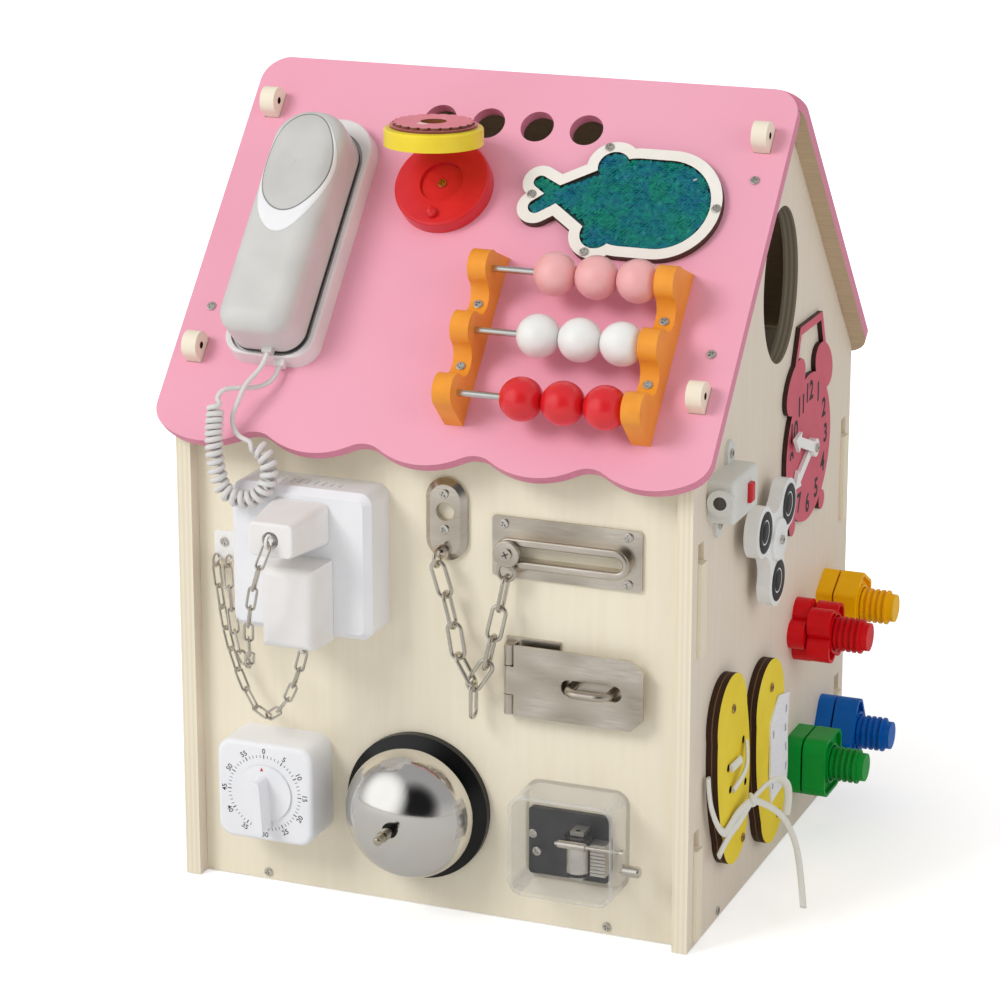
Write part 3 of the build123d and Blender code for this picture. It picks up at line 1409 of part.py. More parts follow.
# Music box: a clear case over a small movement, turned by a crank
music = spot(front, MUSIC_ACROSS, MUSIC_UP)
drum_foot = spot(music, MUSIC_DRUM_ACROSS, MUSIC_DRUM_UP - MUSIC_DRUM_TALL / 2, MUSIC_DRUM_OUT)
drum = Plane(drum_foot.origin, (1, 0, 0), (0, 0, 1))
gear_up = MUSIC_DRUM_TALL + DRUM_GEAR_TALL / 2
worm_out = MUSIC_DRUM_OUT + DRUM_GEAR / 2 + WORM / 2 + WORM_GAP
worm_up = MUSIC_DRUM_UP - MUSIC_DRUM_TALL / 2 + gear_up
worm = music.from_local_coords((MUSIC_DRUM_ACROSS, worm_up, worm_out))
case_side = MUSIC_WIDE / 2 - MUSIC_DRUM_ACROSS
drum_high = MUSIC_DRUM_TALL + DRUM_GEAR_TALL

with BuildPart() as music_case:
    with BuildSketch(music):
        RectangleRounded(MUSIC_WIDE, MUSIC_TALL, MUSIC_ROUND)
    extrude(amount=MUSIC_DEEP)
    fillet(music_case.edges().group_by(outward)[-1], MUSIC_EDGE)
    with BuildSketch(music):
        RectangleRounded(MUSIC_WIDE - 2 * MUSIC_WALL, MUSIC_TALL - 2 * MUSIC_WALL, MUSIC_ROUND - MUSIC_WALL)
    extrude(amount=MUSIC_DEEP - MUSIC_WALL, mode=Mode.SUBTRACT)
    with BuildSketch(Plane(worm, z_dir=(1, 0, 0))):
        Circle(WORM_SHAFT / 2 + PIN_FIT)
    extrude(amount=MUSIC_WIDE, mode=Mode.SUBTRACT)
keep(music_case, "music_case")

with BuildPart() as music_movement:
    with BuildSketch(spot(music, BEDPLATE_ACROSS, BEDPLATE_UP)):
        RectangleRounded(BEDPLATE_WIDE, BEDPLATE_TALL, TRACK_ROUND)
    extrude(amount=BEDPLATE_THICK)
    for low in (-DRUM_GAP - BRACKET_BAR, drum_high + DRUM_GAP):
        with BuildSketch(drum.offset(low)):
            with Locations((0, MUSIC_DRUM_OUT / 2 - BRACKET_BAR / 2)):
                Rectangle(BRACKET_BAR_WIDE, MUSIC_DRUM_OUT + BRACKET_BAR)
            Circle(DRUM_PIN / 2 + PIN_FIT, mode=Mode.SUBTRACT)
        extrude(amount=BRACKET_BAR)
    comb = spot(music, MUSIC_DRUM_ACROSS + MUSIC_DRUM / 2 + COMB_GAP + COMB_WIDE / 2, MUSIC_DRUM_UP)
    with BuildSketch(comb):
        Rectangle(COMB_WIDE, MUSIC_DRUM_TALL)
    extrude(amount=MUSIC_DRUM_OUT)
    with BuildSketch(spot(comb, 0, 0, MUSIC_DRUM_OUT)):
        with GridLocations(1, MUSIC_DRUM_TALL / COMB_TEETH, 1, COMB_TEETH):
            Rectangle(COMB_WIDE, MUSIC_DRUM_TALL / COMB_TEETH - COMB_SLIT)
    extrude(amount=COMB_THICK)
keep(music_movement, "music_movement")

with BuildPart() as music_cylinder:
    with BuildSketch(drum):
        Circle(MUSIC_DRUM / 2)
    extrude(amount=MUSIC_DRUM_TALL)
    with BuildSketch(drum.offset(MUSIC_DRUM_TALL)):
        Circle(DRUM_GEAR / 2)
        with PolarLocations(DRUM_GEAR / 2, GEAR_TEETH):
            Circle(GEAR_NOTCH, mode=Mode.SUBTRACT)
    extrude(amount=DRUM_GEAR_TALL)
    with BuildSketch(drum.offset(-DRUM_GAP - BRACKET_BAR)):
        Circle(DRUM_PIN / 2)
    extrude(amount=drum_high + 2 * DRUM_GAP + 2 * BRACKET_BAR)
keep(music_cylinder, "music_cylinder")

with BuildPart() as music_crank:
    shaft_start = -WORM_LONG / 2 - 2
    crank_across = case_side + CRANK_GAP
    with BuildSketch(Plane(worm + Vector(shaft_start, 0, 0), z_dir=(1, 0, 0))):
        Circle(WORM_SHAFT / 2)
    extrude(amount=crank_across - shaft_start + CRANK_REACH)
    with BuildSketch(Plane(worm + Vector(-WORM_LONG / 2, 0, 0), z_dir=(1, 0, 0))):
        Circle(WORM / 2)
    extrude(amount=WORM_LONG)
    arm_middle = worm + Vector(crank_across + CRANK_REACH - WORM_SHAFT / 2, 0, -CRANK_DROP / 2)
    with BuildSketch(Plane(arm_middle, (0, 1, 0), (1, 0, 0))):
        SlotOverall(CRANK_DROP + CRANK_ARM, CRANK_ARM, rotation=90)
    extrude(amount=WORM_SHAFT / 2, both=True)
    handle = worm + Vector(crank_across + CRANK_REACH, 0, -CRANK_DROP)
    with BuildSketch(Plane(handle, z_dir=(1, 0, 0))):
        Circle(CRANK_KNOB / 2)
    extrude(amount=CRANK_KNOB_LONG)
    fillet(music_crank.edges().group_by(Axis.X)[-1], CRANK_KNOB / 4)
keep(music_crank, "music_crank")

# Clock board with two hands on one pivot
clock = spot(side, CLOCK_ALONG, CLOCK_UP)
sideways = Axis(side.origin, side.z_dir)
hour_out = CLOCK_THICK + HAND_GAP
minute_out = hour_out + HAND_THICK + HAND_GAP

with BuildPart() as clock_face:
    with BuildSketch(clock):
        Circle(CLOCK_FACE / 2)
        for hand in (-1, 1):
            ear = Location((hand * CLOCK_BELL_ALONG, CLOCK_BELL_UP, 0), (0, 0, -hand * CLOCK_BELL_TILT))
            with Locations(ear):
                Ellipse(CLOCK_BELL_WIDE / 2, CLOCK_BELL_TALL / 2)
            with Locations((hand * CLOCK_FOOT_ALONG, -CLOCK_FOOT_DOWN)):
                Circle(CLOCK_FOOT / 2)
        with BuildLine():
            low = CLOCK_HANDLE_LOW
            top = CLOCK_HANDLE_TOP
            Polyline(
                (-CLOCK_HANDLE_FOOT, low),
                (-CLOCK_HANDLE_WIDE / 2, top),
                (CLOCK_HANDLE_WIDE / 2, top),
                (CLOCK_HANDLE_FOOT, low),
                (CLOCK_HANDLE_FOOT - CLOCK_HANDLE_BAR, low),
                (CLOCK_HANDLE_WIDE / 2 - CLOCK_HANDLE_BAR / 2, top - CLOCK_HANDLE_BAR),
                (-CLOCK_HANDLE_WIDE / 2 + CLOCK_HANDLE_BAR / 2, top - CLOCK_HANDLE_BAR),
                (-CLOCK_HANDLE_FOOT + CLOCK_HANDLE_BAR, low),
                close=True,
            )
        make_face()
    extrude(amount=CLOCK_THICK)
keep(clock_face, "clock_face")


def clock_hand(out, long, turn):
    """A flat hand with an arrow head and a round eye."""
    with BuildPart() as pointer:
        with BuildSketch(spot(clock, 0, 0, out)):
            Circle(HAND_HUB / 2)
            with Locations(Location((0, 0, 0), (0, 0, turn))):
                with Locations((long / 2, 0)):
                    Rectangle(long, HAND_WIDE)
                with Locations((long, 0)):
                    RegularPolygon(HAND_HEAD / 2, 3)
            Circle(HAND_PIVOT / 2 + PIN_FIT, mode=Mode.SUBTRACT)
        extrude(amount=HAND_THICK)
    return pointer


keep(clock_hand(hour_out, HOUR_HAND, HOUR_HAND_TURN), "clock_hour_hand")
keep(clock_hand(minute_out, MINUTE_HAND, MINUTE_HAND_TURN), "clock_minute_hand")

# Fidget spinner on a post
spin = spot(side, SPINNER_ALONG, SPINNER_UP)

with BuildPart() as spinner:
    with BuildSketch(spot(spin, 0, 0, SPINNER_OUT)):
        Circle(SPINNER_WAIST)
        with PolarLocations(SPINNER_ARM, 3, start_angle=SPINNER_TURN):
            Circle(SPINNER_LOBE / 2)
        with PolarLocations(SPINNER_NOTCH_ARM, 3, start_angle=SPINNER_TURN + 60):
            Circle(SPINNER_NOTCH, mode=Mode.SUBTRACT)
    extrude(amount=SPINNER_THICK)
    with BuildSketch(spot(spin, 0, 0, SPINNER_OUT - SPINNER_RING_PROUD)):
        with PolarLocations(SPINNER_ARM, 3, start_angle=SPINNER_TURN):
            Circle(SPINNER_RING / 2)
    extrude(amount=SPINNER_THICK + 2 * SPINNER_RING_PROUD)
    with BuildSketch(spot(spin, 0, 0, SPINNER_OUT - SPINNER_RING_PROUD)):
        with PolarLocations(SPINNER_ARM, 3, start_angle=SPINNER_TURN):
            Circle(SPINNER_RING_HOLE / 2)
    extrude(amount=SPINNER_THICK + 2 * SPINNER_RING_PROUD, mode=Mode.SUBTRACT)
    with BuildSketch(spot(spin, 0, 0, SPINNER_OUT + SPINNER_THICK)):
        Circle(SPINNER_CAP / 2)
    extrude(amount=SPINNER_CAP_TALL)
    fillet(spinner.edges().group_by(sideways)[-1], SPINNER_CAP_TALL / 2)
    with BuildSketch(spin):
        Circle(SPINNER_POST / 2 + SPINNER_POST_FIT)
    extrude(amount=SPINNER_OUT + SPINNER_THICK + SPINNER_CAP_TALL + 1, mode=Mode.SUBTRACT)
keep(spinner, "spinner")

# Torch: a block with a lens at one end, a button, and two screwed ears
torch = spot(side, TORCH_ALONG, TORCH_UP)
torch_push = spot(torch, TORCH_BUTTON_ALONG, 0, TORCH_DEEP)

with BuildPart() as torch_case:
    with BuildSketch(torch):
        RectangleRounded(TORCH_LONG, TORCH_TALL, TORCH_EDGE)
    extrude(amount=TORCH_DEEP)
    fillet(torch_case.edges().group_by(sideways)[-1], TORCH_EDGE)
    lens_end = torch.from_local_coords((-TORCH_LONG / 2 + 2, 0, TORCH_DEEP / 2))
    with BuildSketch(Plane(lens_end, z_dir=(0, -1, 0))):
        Circle(TORCH_LENS / 2)
    extrude(amount=2 + TORCH_LENS_PROUD)
    with BuildSketch(torch):
        with Locations((TORCH_UPPER_EAR, TORCH_TALL / 2)):
            SlotOverall(2 * TORCH_EAR, TORCH_EAR, rotation=90)
        with Locations((TORCH_LOWER_EAR, -TORCH_TALL / 2)):
            SlotOverall(2 * TORCH_EAR, TORCH_EAR, rotation=90)
    extrude(amount=TORCH_EAR_THICK)
    with BuildSketch(torch_push):
        Rectangle(TORCH_BUTTON_WIDE + 2 * TORCH_BUTTON_FIT, TORCH_BUTTON_TALL + 2 * TORCH_BUTTON_FIT)
    extrude(amount=-TORCH_BUTTON_DEEP - TORCH_TRAVEL - 0.5, mode=Mode.SUBTRACT)
keep(torch_case, "torch_case")

with BuildPart() as torch_button:
    with BuildSketch(spot(torch_push, 0, 0, -TORCH_BUTTON_DEEP)):
        Rectangle(TORCH_BUTTON_WIDE, TORCH_BUTTON_TALL)
    extrude(amount=TORCH_BUTTON_DEEP + TORCH_BUTTON_PROUD)
    fillet(torch_button.edges().group_by(sideways)[-1], TORCH_BUTTON_PROUD / 2)
keep(torch_button, "torch_button")


# Bolts: four shaped heads with ringed shanks, each with a nut of the same shape
def bolt_shape(kind, inset, turn=0.0):
    """One bolt's outline, made smaller all round by an inset."""
    with BuildSketch(mode=Mode.PRIVATE) as outline:
        if kind == "hexagon":
            RegularPolygon(HEXAGON - inset, 6, major_radius=False, rotation=30)
            fillet(outline.vertices(), SHAPE_ROUND)
        elif kind == "clover":
            with PolarLocations(CLOVER_ARM, 4):
                Circle(CLOVER_LOBE - inset)
            Circle(CLOVER_ARM)
        elif kind == "triangle":
            RegularPolygon(TRIANGLE - inset, 3, major_radius=False, rotation=90)
            fillet(outline.vertices(), TRIANGLE_ROUND - inset)
        else:
            RectangleRounded(2 * (SQUARE - inset), 2 * (SQUARE - inset), SQUARE_ROUND - inset)
    return outline.sketch.rotate(Axis.Z, turn)


bolts = (
    ("yellow", "hexagon", BOLT_BACK_ALONG, BOLT_HIGH, 0),
    ("red", "clover", BOLT_FRONT_ALONG, BOLT_HIGH, CLOVER_TURN),
    ("blue", "triangle", BOLT_BACK_ALONG, BOLT_LOW, 0),
    ("green", "square", BOLT_FRONT_ALONG, BOLT_LOW, 0),
)
ridges = int((BOLT_LONG - THREAD_START) / THREAD_PITCH)

with BuildPart() as wall_bolts:
    for colour, kind, along, up, turn in bolts:
        place = spot(side, along, up)
        with BuildSketch(place):
            add(bolt_shape(kind, 0))
        extrude(amount=BOLT_HEAD_TALL)
        with BuildSketch(place):
            Circle(THREAD / 2 - THREAD_DEEP)
        extrude(amount=BOLT_LONG)
        for i in range(ridges):
            with BuildSketch(spot(place, 0, 0, THREAD_START + i * THREAD_PITCH)):
                Circle(THREAD / 2 - THREAD_DEEP / 2)
            extrude(amount=THREAD_PITCH * 0.62)
            with BuildSketch(spot(place, 0, 0, THREAD_START + (i + 0.15) * THREAD_PITCH)):
                Circle(THREAD / 2)
            extrude(amount=THREAD_PITCH * 0.32)
keep(wall_bolts, "wall_bolts")

for colour, kind, along, up, turn in bolts:
    place = spot(side, along, up, BOLT_HEAD_TALL + NUT_GAP)
    with BuildPart() as nut:
        with BuildSketch(place):
            add(bolt_shape(kind, 0, turn))
            Circle(THREAD / 2 + NUT_FIT, mode=Mode.SUBTRACT)
        extrude(amount=NUT_TALL)
        with BuildSketch(spot(place, 0, 0, NUT_TALL)):
            add(bolt_shape(kind, NUT_RIM, turn))
            Circle(NUT_BOSS, mode=Mode.SUBTRACT)
        extrude(amount=-NUT_RECESS_DEEP, mode=Mode.SUBTRACT)
    keep(nut, f"nut_{colour}")

# Shoe soles: one with a lace tied through it, one with a strap
front_sole = spot(side, FRONT_SOLE_ALONG, FRONT_SOLE_UP)
back_sole = spot(side, BACK_SOLE_ALONG, BACK_SOLE_UP)
lace_holes = ((-76.7, 102.4), (-103.7, 94.6), (-99.3, 80.0), (-71.2, 74.8))


def sole_outline():
    """A shoe sole seen from above, toe up."""
    half = SOLE_LONG / 2
    with BuildSketch(mode=Mode.PRIVATE) as outline:
        with BuildLine():
            toe = half - SOLE_TOE / 2 - 3
            heel = -half + SOLE_HEEL / 2
            ThreePointArc((-SOLE_TOE / 2, toe), (0, half), (SOLE_TOE / 2, toe))
            waist = (toe + heel) / 2 - 10
            ThreePointArc((SOLE_TOE / 2, toe), (SOLE_WAIST / 2, waist), (SOLE_HEEL / 2, heel))
            ThreePointArc((SOLE_HEEL / 2, heel), (0, -half), (-SOLE_HEEL / 2, heel))
            ThreePointArc((-SOLE_HEEL / 2, heel), (-SOLE_WAIST / 2, waist), (-SOLE_TOE / 2, toe))
        make_face()
    return outline.sketch.rotate(Axis.Z, SOLE_TILT)


with BuildPart() as shoe_soles:
    for place in (front_sole, back_sole):
        with BuildSketch(place):
            add(sole_outline())
        extrude(amount=SOLE_THICK)
    with BuildSketch(side):
        with Locations(*lace_holes):
            Circle(LACE_HOLE / 2)
    extrude(amount=SOLE_THICK, mode=Mode.SUBTRACT)
keep(shoe_soles, "shoe_soles")

with BuildPart() as shoe_strap:
    with BuildSketch(spot(side, 0, 0, SOLE_THICK)):
        with BuildLine():
            Polyline((-26, 94), (-12, 107), (8, 103), (7, 48), (-22, 43), (-27, 62), close=True)
        make_face()
        with Locations(*[(3.0, up) for up in (58, 70, 82, 94)], *[(-21.0, up) for up in (54, 86)]):
            Rectangle(STRAP_SLOT_WIDE, STRAP_SLOT_TALL, mode=Mode.SUBTRACT)
    extrude(amount=STRAP_THICK)
keep(shoe_strap, "shoe_strap")

lace_out = SOLE_THICK + LACE / 2 + LACE_OVER
knot = side.from_local_coords((-75.7, 66.2, SOLE_THICK + KNOT / 2 + LACE_OVER))
knot_out = SOLE_THICK + KNOT / 2 + LACE_OVER
lace_routes = (
    (
        (-75.7, 66.2, knot_out),
        (-92.0, 65.0, lace_out + 1),
        (-107.0, 59.5, lace_out),
        (-117.5, 60.0, lace_out + 0.6),
        (-125.5, 70.0, 7.0),
        (-127.5, 84.0, 3.6),
        (-128.0, 97.0, 3.2),
    ),
    (
        (-75.7, 66.2, knot_out),
        (-93.0, 59.0, lace_out + 2.5),
        (-109.0, 55.0, lace_out),
        (-124.0, 49.7, 9.0),
    ),
    (
        (-75.7, 66.2, knot_out),
        (-67.0, 75.0, 19.0),
        (-55.5, 74.0, 25.0),
        (-50.0, 63.0, 27.5),
        (-52.0, 50.0, 26.0),
    ),
    (
        (-75.7, 66.2, knot_out),
        (-64.0, 59.0, 24.0),
        (-67.0, 44.0, 36.0),
        (-80.0, 28.0, 44.0),
        (-94.0, 13.0, 50.0),
    ),
    (
        (-76.7, 102.4, lace_out),
        (-80.0, 92.0, lace_out + 2.5),
        (-89.0, 84.5, lace_out + 2.5),
        (-99.3, 80.0, lace_out),
    ),
    (
        (-103.7, 94.6, lace_out),
        (-94.0, 94.2, lace_out),
        (-86.5, 94.0, lace_out),
    ),
)

with BuildPart() as shoe_lace:
    for route in lace_routes:
        points = [side.from_local_coords(point) for point in route]
        with BuildLine() as strand:
            FilletPolyline(*points, radius=bend_radii(points))
        with BuildSketch(Plane(points[0], z_dir=points[1] - points[0])):
            Circle(LACE / 2)
        sweep(path=strand.wire())
        print("lace radii", [round(radius, 1) for radius in bend_radii(points)])
        print("lace length", round(strand.wire().length, 1))
    with Locations(knot):
        Sphere(KNOT / 2)
keep(shoe_lace, "shoe_lace")

# Screws, and the posts that the clock's hands and the spinner turn on
with BuildPart() as screw:
    with BuildSketch(Plane.XY):
        Circle(SCREW_HEAD / 2)
    extrude(amount=SCREW_HEAD_TALL)
    fillet(screw.edges().group_by(Axis.Z)[-1], SCREW_HEAD_TALL / 2)
    with BuildSketch(Plane.XY.offset(SCREW_HEAD_TALL)):
        Rectangle(SCREW_CROSS, SCREW_CROSS_WIDE)
        Rectangle(SCREW_CROSS_WIDE, SCREW_CROSS)
    extrude(amount=-SCREW_CROSS_DEEP, mode=Mode.SUBTRACT)
    with BuildSketch(Plane.XY):
        Circle(SCREW_SHANK / 2)
    extrude(amount=-SCREW_LENGTH)

fish_screws = ((-25.9, 34.0), (-64.6, 0.0), (-24.5, -34.0), (45.3, 0.0))
wall_line = WIDTH / 2 - PANEL / 2
screw_places = [
    (front_slope, wall_line, -60.0, 0.0, 15.0),
    (front_slope, wall_line, -170.0, 0.0, 40.0),
    (front_slope, -wall_line, -170.0, 0.0, 70.0),
    (back_slope, wall_line, -60.0, 0.0, 15.0),
    (back_slope, wall_line, -170.0, 0.0, 40.0),
    (back_slope, -wall_line, -60.0, 0.0, 25.0),
    (back_slope, -wall_line, -170.0, 0.0, 60.0),
    (front, -106.8, PANEL / 2, 0.0, 20.0),
    (front, 105.2, PANEL / 2, 0.0, 65.0),
    (back, -106.0, PANEL / 2, 0.0, 30.0),
    (back, 106.0, PANEL / 2, 0.0, 10.0),
    (side, -97.8, PANEL / 2, 0.0, 25.0),
    (side, 97.8, PANEL / 2, 0.0, 50.0),
    (far_side, -97.8, PANEL / 2, 0.0, 35.0),
    (far_side, 97.8, PANEL / 2, 0.0, 5.0),
    (bracket, 0.0, 2.0, BRACKET_THICK, 20.0),
    (holder, -0.3, 15.4, HOLDER_THICK, 30.0),
    (holder, -0.3, -5.2, HOLDER_THICK, 55.0),
    (track, -37.0, 13.3, TRACK_THICK, 40.0),
    (track, 36.2, 13.5, TRACK_THICK, 10.0),
    (track, 36.2, -13.6, TRACK_THICK, 75.0),
    (compact, 0.0, 0.0, COMPACT_BASE_TALL - COMPACT_WELL_DEEP, 30.0),
    (torch, TORCH_UPPER_EAR, 18.0, TORCH_EAR_THICK, 20.0),
    (torch, TORCH_LOWER_EAR, -18.0, TORCH_EAR_THICK, 65.0),
    (side, -96.6, 127.8, SOLE_THICK, 10.0),
    (side, -74.8, 41.7, SOLE_THICK, 35.0),
    (side, -24.3, 116.2, SOLE_THICK, 60.0),
    (side, -6.3, 31.0, SOLE_THICK, 80.0),
    (front, 61.5, 56.1, BEDPLATE_THICK, 15.0),
    (front, 64.0, 45.6, BEDPLATE_THICK, 50.0),
]
for across, up in fish_screws:
    screw_places.append((fish, across, up, FISH_THICK, 4 * across))
for across in (RAIL_LEFT, rail_right):
    for down in rod_downs[:2]:
        screw_places.append((front_slope, across, -down - ROD_STEP / 2, RAIL_VALLEY, down))

clock_post_top = minute_out + HAND_THICK + HAND_GAP
spinner_top = SPINNER_OUT + SPINNER_THICK + SPINNER_CAP_TALL + SPINNER_GAP

with BuildPart() as screws_and_pins:
    heads = []
    for plane, across, up, out, turn in screw_places:
        heads.append(screw.part.rotate(Axis.Z, turn).moved(spot(plane, across, up, out).location))
    add(heads)
    with BuildSketch(spot(clock, 0, 0, CLOCK_THICK - 2)):
        Circle(HAND_PIVOT / 2)
    extrude(amount=clock_post_top - CLOCK_THICK + 2)
    add(screw.part.moved(spot(clock, 0, 0, clock_post_top).location), mode=Mode.ADD)
    with BuildSketch(spin):
        Circle(SPINNER_COLLAR / 2)
    extrude(amount=SPINNER_OUT - SPINNER_GAP)
    with BuildSketch(spin):
        Circle(SPINNER_POST / 2)
    extrude(amount=spinner_top)
    add(screw.part.moved(spot(spin, 0, 0, spinner_top).location), mode=Mode.ADD)
keep(screws_and_pins, "screws_and_pins")
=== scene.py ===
# %% [markdown]
# # A wooden busy house
# The object is a small plywood house with a pink roof. Every outer face carries something to slide, turn,
# lift or press. The solid parts come ready-made as a fixed frame, so this lesson gives them their finishes,
# and makes by hand what is soft, printed or very small: the telephone cord, the laces, plated copies of the
# chains, the sequins and the numbers.

# %% Load the fixed frame
import math
import random

import bmesh
import bpy
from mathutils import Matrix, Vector
from mathutils.bvhtree import BVHTree


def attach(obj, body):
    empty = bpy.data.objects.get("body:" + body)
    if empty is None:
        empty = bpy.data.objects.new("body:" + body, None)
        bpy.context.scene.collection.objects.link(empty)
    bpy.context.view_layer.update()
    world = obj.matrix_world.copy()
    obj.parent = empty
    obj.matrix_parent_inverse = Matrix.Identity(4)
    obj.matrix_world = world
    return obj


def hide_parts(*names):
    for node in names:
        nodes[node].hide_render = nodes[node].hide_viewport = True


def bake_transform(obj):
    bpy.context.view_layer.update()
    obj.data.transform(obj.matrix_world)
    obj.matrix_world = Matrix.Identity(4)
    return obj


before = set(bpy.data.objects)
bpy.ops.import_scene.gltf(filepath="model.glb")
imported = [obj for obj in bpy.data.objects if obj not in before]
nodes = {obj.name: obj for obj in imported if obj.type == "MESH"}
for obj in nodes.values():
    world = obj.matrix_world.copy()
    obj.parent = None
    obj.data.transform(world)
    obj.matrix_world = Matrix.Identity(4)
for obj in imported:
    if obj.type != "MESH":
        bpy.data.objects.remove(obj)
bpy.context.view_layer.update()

# %% [markdown]
# ## Where things are
# All sizes were worked out in millimetres on three faces: the front wall, the side wall and the front slope
# of the roof. A point on a face is easiest to give as across, up and out, so each face gets a small
# function that turns those three into a place in metres.

# %% Places on the three faces
MM = 0.001
WALL_FACE = 142.5
SIDE_FACE = 156.0
RIDGE = 464.0
PITCH = math.radians(48.9)
RIGHT, BACK, UP = (1, 0, 0), (0, 1, 0), (0, 0, 1)
ACROSS = Vector(RIGHT)
UP_SLOPE = Vector((0, math.cos(PITCH), math.sin(PITCH)))
OUT_SLOPE = Vector((0, -math.sin(PITCH), math.cos(PITCH)))
OUT_BACK_SLOPE = Vector((0, math.sin(PITCH), math.cos(PITCH)))
ROOF_TOP = RIDGE * MM * OUT_SLOPE.z
FAR = 1.0


def on_front(across, up, out):
    """A place on the front wall."""
    return Vector((across, -WALL_FACE - out, up)) * MM


def on_side(along, up, out):
    """A place on the side wall with the shoes and bolts."""
    return Vector((SIDE_FACE + out, along, up)) * MM


def on_roof(across, down, out):
    """A place on the front slope, measured down from the ridge."""
    return (Vector((0, 0, RIDGE)) + ACROSS * across - UP_SLOPE * down + OUT_SLOPE * out) * MM


print("ridge at", on_roof(0, 0, 0))

# %% [markdown]
# ## The camera
# The photograph looks down a little on the corner between the front and the side wall, through a long lens,
# so the edges hardly converge. A small vertical shift puts the house in the frame as the photograph has it.

# %% Camera
CAMERA_PLACE = (0.70166, -1.79194, 0.78709)
CAMERA_WAY = (-0.35947, 0.89597, -0.2608)
lens_barrel = bpy.data.cameras.new("view")
lens_barrel.lens = 120.51
lens_barrel.sensor_width = 36.0
lens_barrel.shift_y = -0.10
lens_barrel.clip_end = 30.0
camera = bpy.data.objects.new("view", lens_barrel)
camera.location = CAMERA_PLACE
camera.rotation_euler = Vector(CAMERA_WAY).to_track_quat("-Z", "Y").to_euler()
bpy.context.collection.objects.link(camera)
bpy.context.scene.camera = camera
print("camera lens", lens_barrel.lens)

# %% [markdown]
# ## The lamps
# The picture was taken on white paper under large soft lamps. One big lamp stands high on the left, which
# gives the soft shadows to the right of every toy, and a weaker one fills from the right. The lamps are
# hidden from mirrors, because a square lamp would show as a hard white patch in the bell and in the locks.

# %% Lamps
HOUSE_MIDDLE = Vector((0.0, 0.0, 0.22))


def soft_lamp(name, place, size, power):
    """A large square lamp that faces the house."""
    lamp = bpy.data.lights.new(name, "AREA")
    lamp.size = size
    lamp.energy = power
    holder = bpy.data.objects.new(name, lamp)
    holder.location = place
    holder.rotation_euler = (HOUSE_MIDDLE - Vector(place)).to_track_quat("-Z", "Y").to_euler()
    holder.visible_glossy = False
    bpy.context.collection.objects.link(holder)


soft_lamp("left lamp", (-1.25, -1.75, 1.75), size=1.0, power=30.0)
soft_lamp("right lamp", (2.2, -0.9, 1.2), size=1.6, power=10.0)
bpy.context.scene.view_settings.view_transform = "Standard"
print("lamps", [lamp.name for lamp in bpy.data.lights])

# %% [markdown]
# ## One node in one call
# The surroundings, the floor and every finish are small networks of nodes. A node is made, its settings are
# chosen, and each socket gets either a plain value or a link from another node. One call for all three
# keeps a network as short to read as a formula.

# %% Node helper


def add_node(tree, kind, inputs=(), **settings):
    """One node of a network, with values or links put into its sockets."""
    made = tree.nodes.new(kind)
    for key, value in settings.items():
        setattr(made, key, value)
    for key, value in dict(inputs).items():
        if isinstance(value, bpy.types.NodeSocket):
            tree.links.new(value, made.inputs[key])
        else:
            made.inputs[key].default_value = value
    return made


print("node helper ready")

# %% [markdown]
# ## The surroundings
# The surroundings are white to the camera and light the walls evenly from all sides. Bright metal sees a
# grey room in them instead, paler towards the floor, with a dark place where the photographer stood and a
# bright one beside it. Without that contrast nickel looks like grey paint.

# %% White surroundings with a room for metal
AMBIENT = 0.57
WHITE = (1, 1, 1, 1)
MIRROR_GREY = (0.40, 0.40, 0.405, 1)
MIRROR_LOW = (0.60, 0.59, 0.58, 1)
MIRROR_LAMP = (1.25, 1.25, 1.25, 1)
MIRROR_DARK = (0.012, 0.012, 0.014, 1)
DARK_WAY = (0.27, -0.92, 0.29)
LAMP_WAY = (-0.62, -0.72, 0.31)
PATCH_EDGE = (0.74, 0.97)
HORIZON = (-0.05, 0.45)
world = bpy.data.worlds.new("studio")
bpy.context.scene.world = world
world.use_nodes = True
sky = world.node_tree
sky.nodes.clear()


def sky_patch(way, edge):
    """A soft round patch of the surroundings about a direction."""
    looking = add_node(sky, "ShaderNodeTexCoord").outputs["Generated"]
    near = add_node(sky, "ShaderNodeVectorMath", {0: looking, 1: way}, operation="DOT_PRODUCT")
    given = {"Value": near.outputs["Value"], "From Min": edge[0], "From Max": edge[1]}
    return add_node(sky, "ShaderNodeMapRange", given, interpolation_type="SMOOTHSTEP").outputs[0]


def sky_mix(share, first, second):
    """One colour of the surroundings turning into another."""
    return add_node(sky, "ShaderNodeMix", {0: share, 6: first, 7: second}, data_type="RGBA").outputs[2]


def sky_light(share, first, second):
    """One light of the surroundings, or another for some of the rays."""
    return add_node(sky, "ShaderNodeMixShader", {0: share, 1: first, 2: second}).outputs[0]


mirrored = sky_mix(sky_patch(UP, HORIZON), MIRROR_LOW, MIRROR_GREY)
mirrored = sky_mix(sky_patch(DARK_WAY, PATCH_EDGE), mirrored, MIRROR_DARK)
mirrored = sky_mix(sky_patch(LAMP_WAY, PATCH_EDGE), mirrored, MIRROR_LAMP)
rays = add_node(sky, "ShaderNodeLightPath").outputs
white_paper = add_node(sky, "ShaderNodeBackground", {"Color": WHITE}).outputs[0]
room_light = add_node(sky, "ShaderNodeBackground", {"Color": WHITE, "Strength": AMBIENT}).outputs[0]
in_mirrors = add_node(sky, "ShaderNodeBackground", {"Color": mirrored}).outputs[0]
mirror_or_light = sky_light(rays["Is Glossy Ray"], room_light, in_mirrors)
all_sky = sky_light(rays["Is Camera Ray"], mirror_or_light, white_paper)
add_node(sky, "ShaderNodeOutputWorld", {0: all_sky})
print("surroundings made of", len(sky.nodes), "nodes")

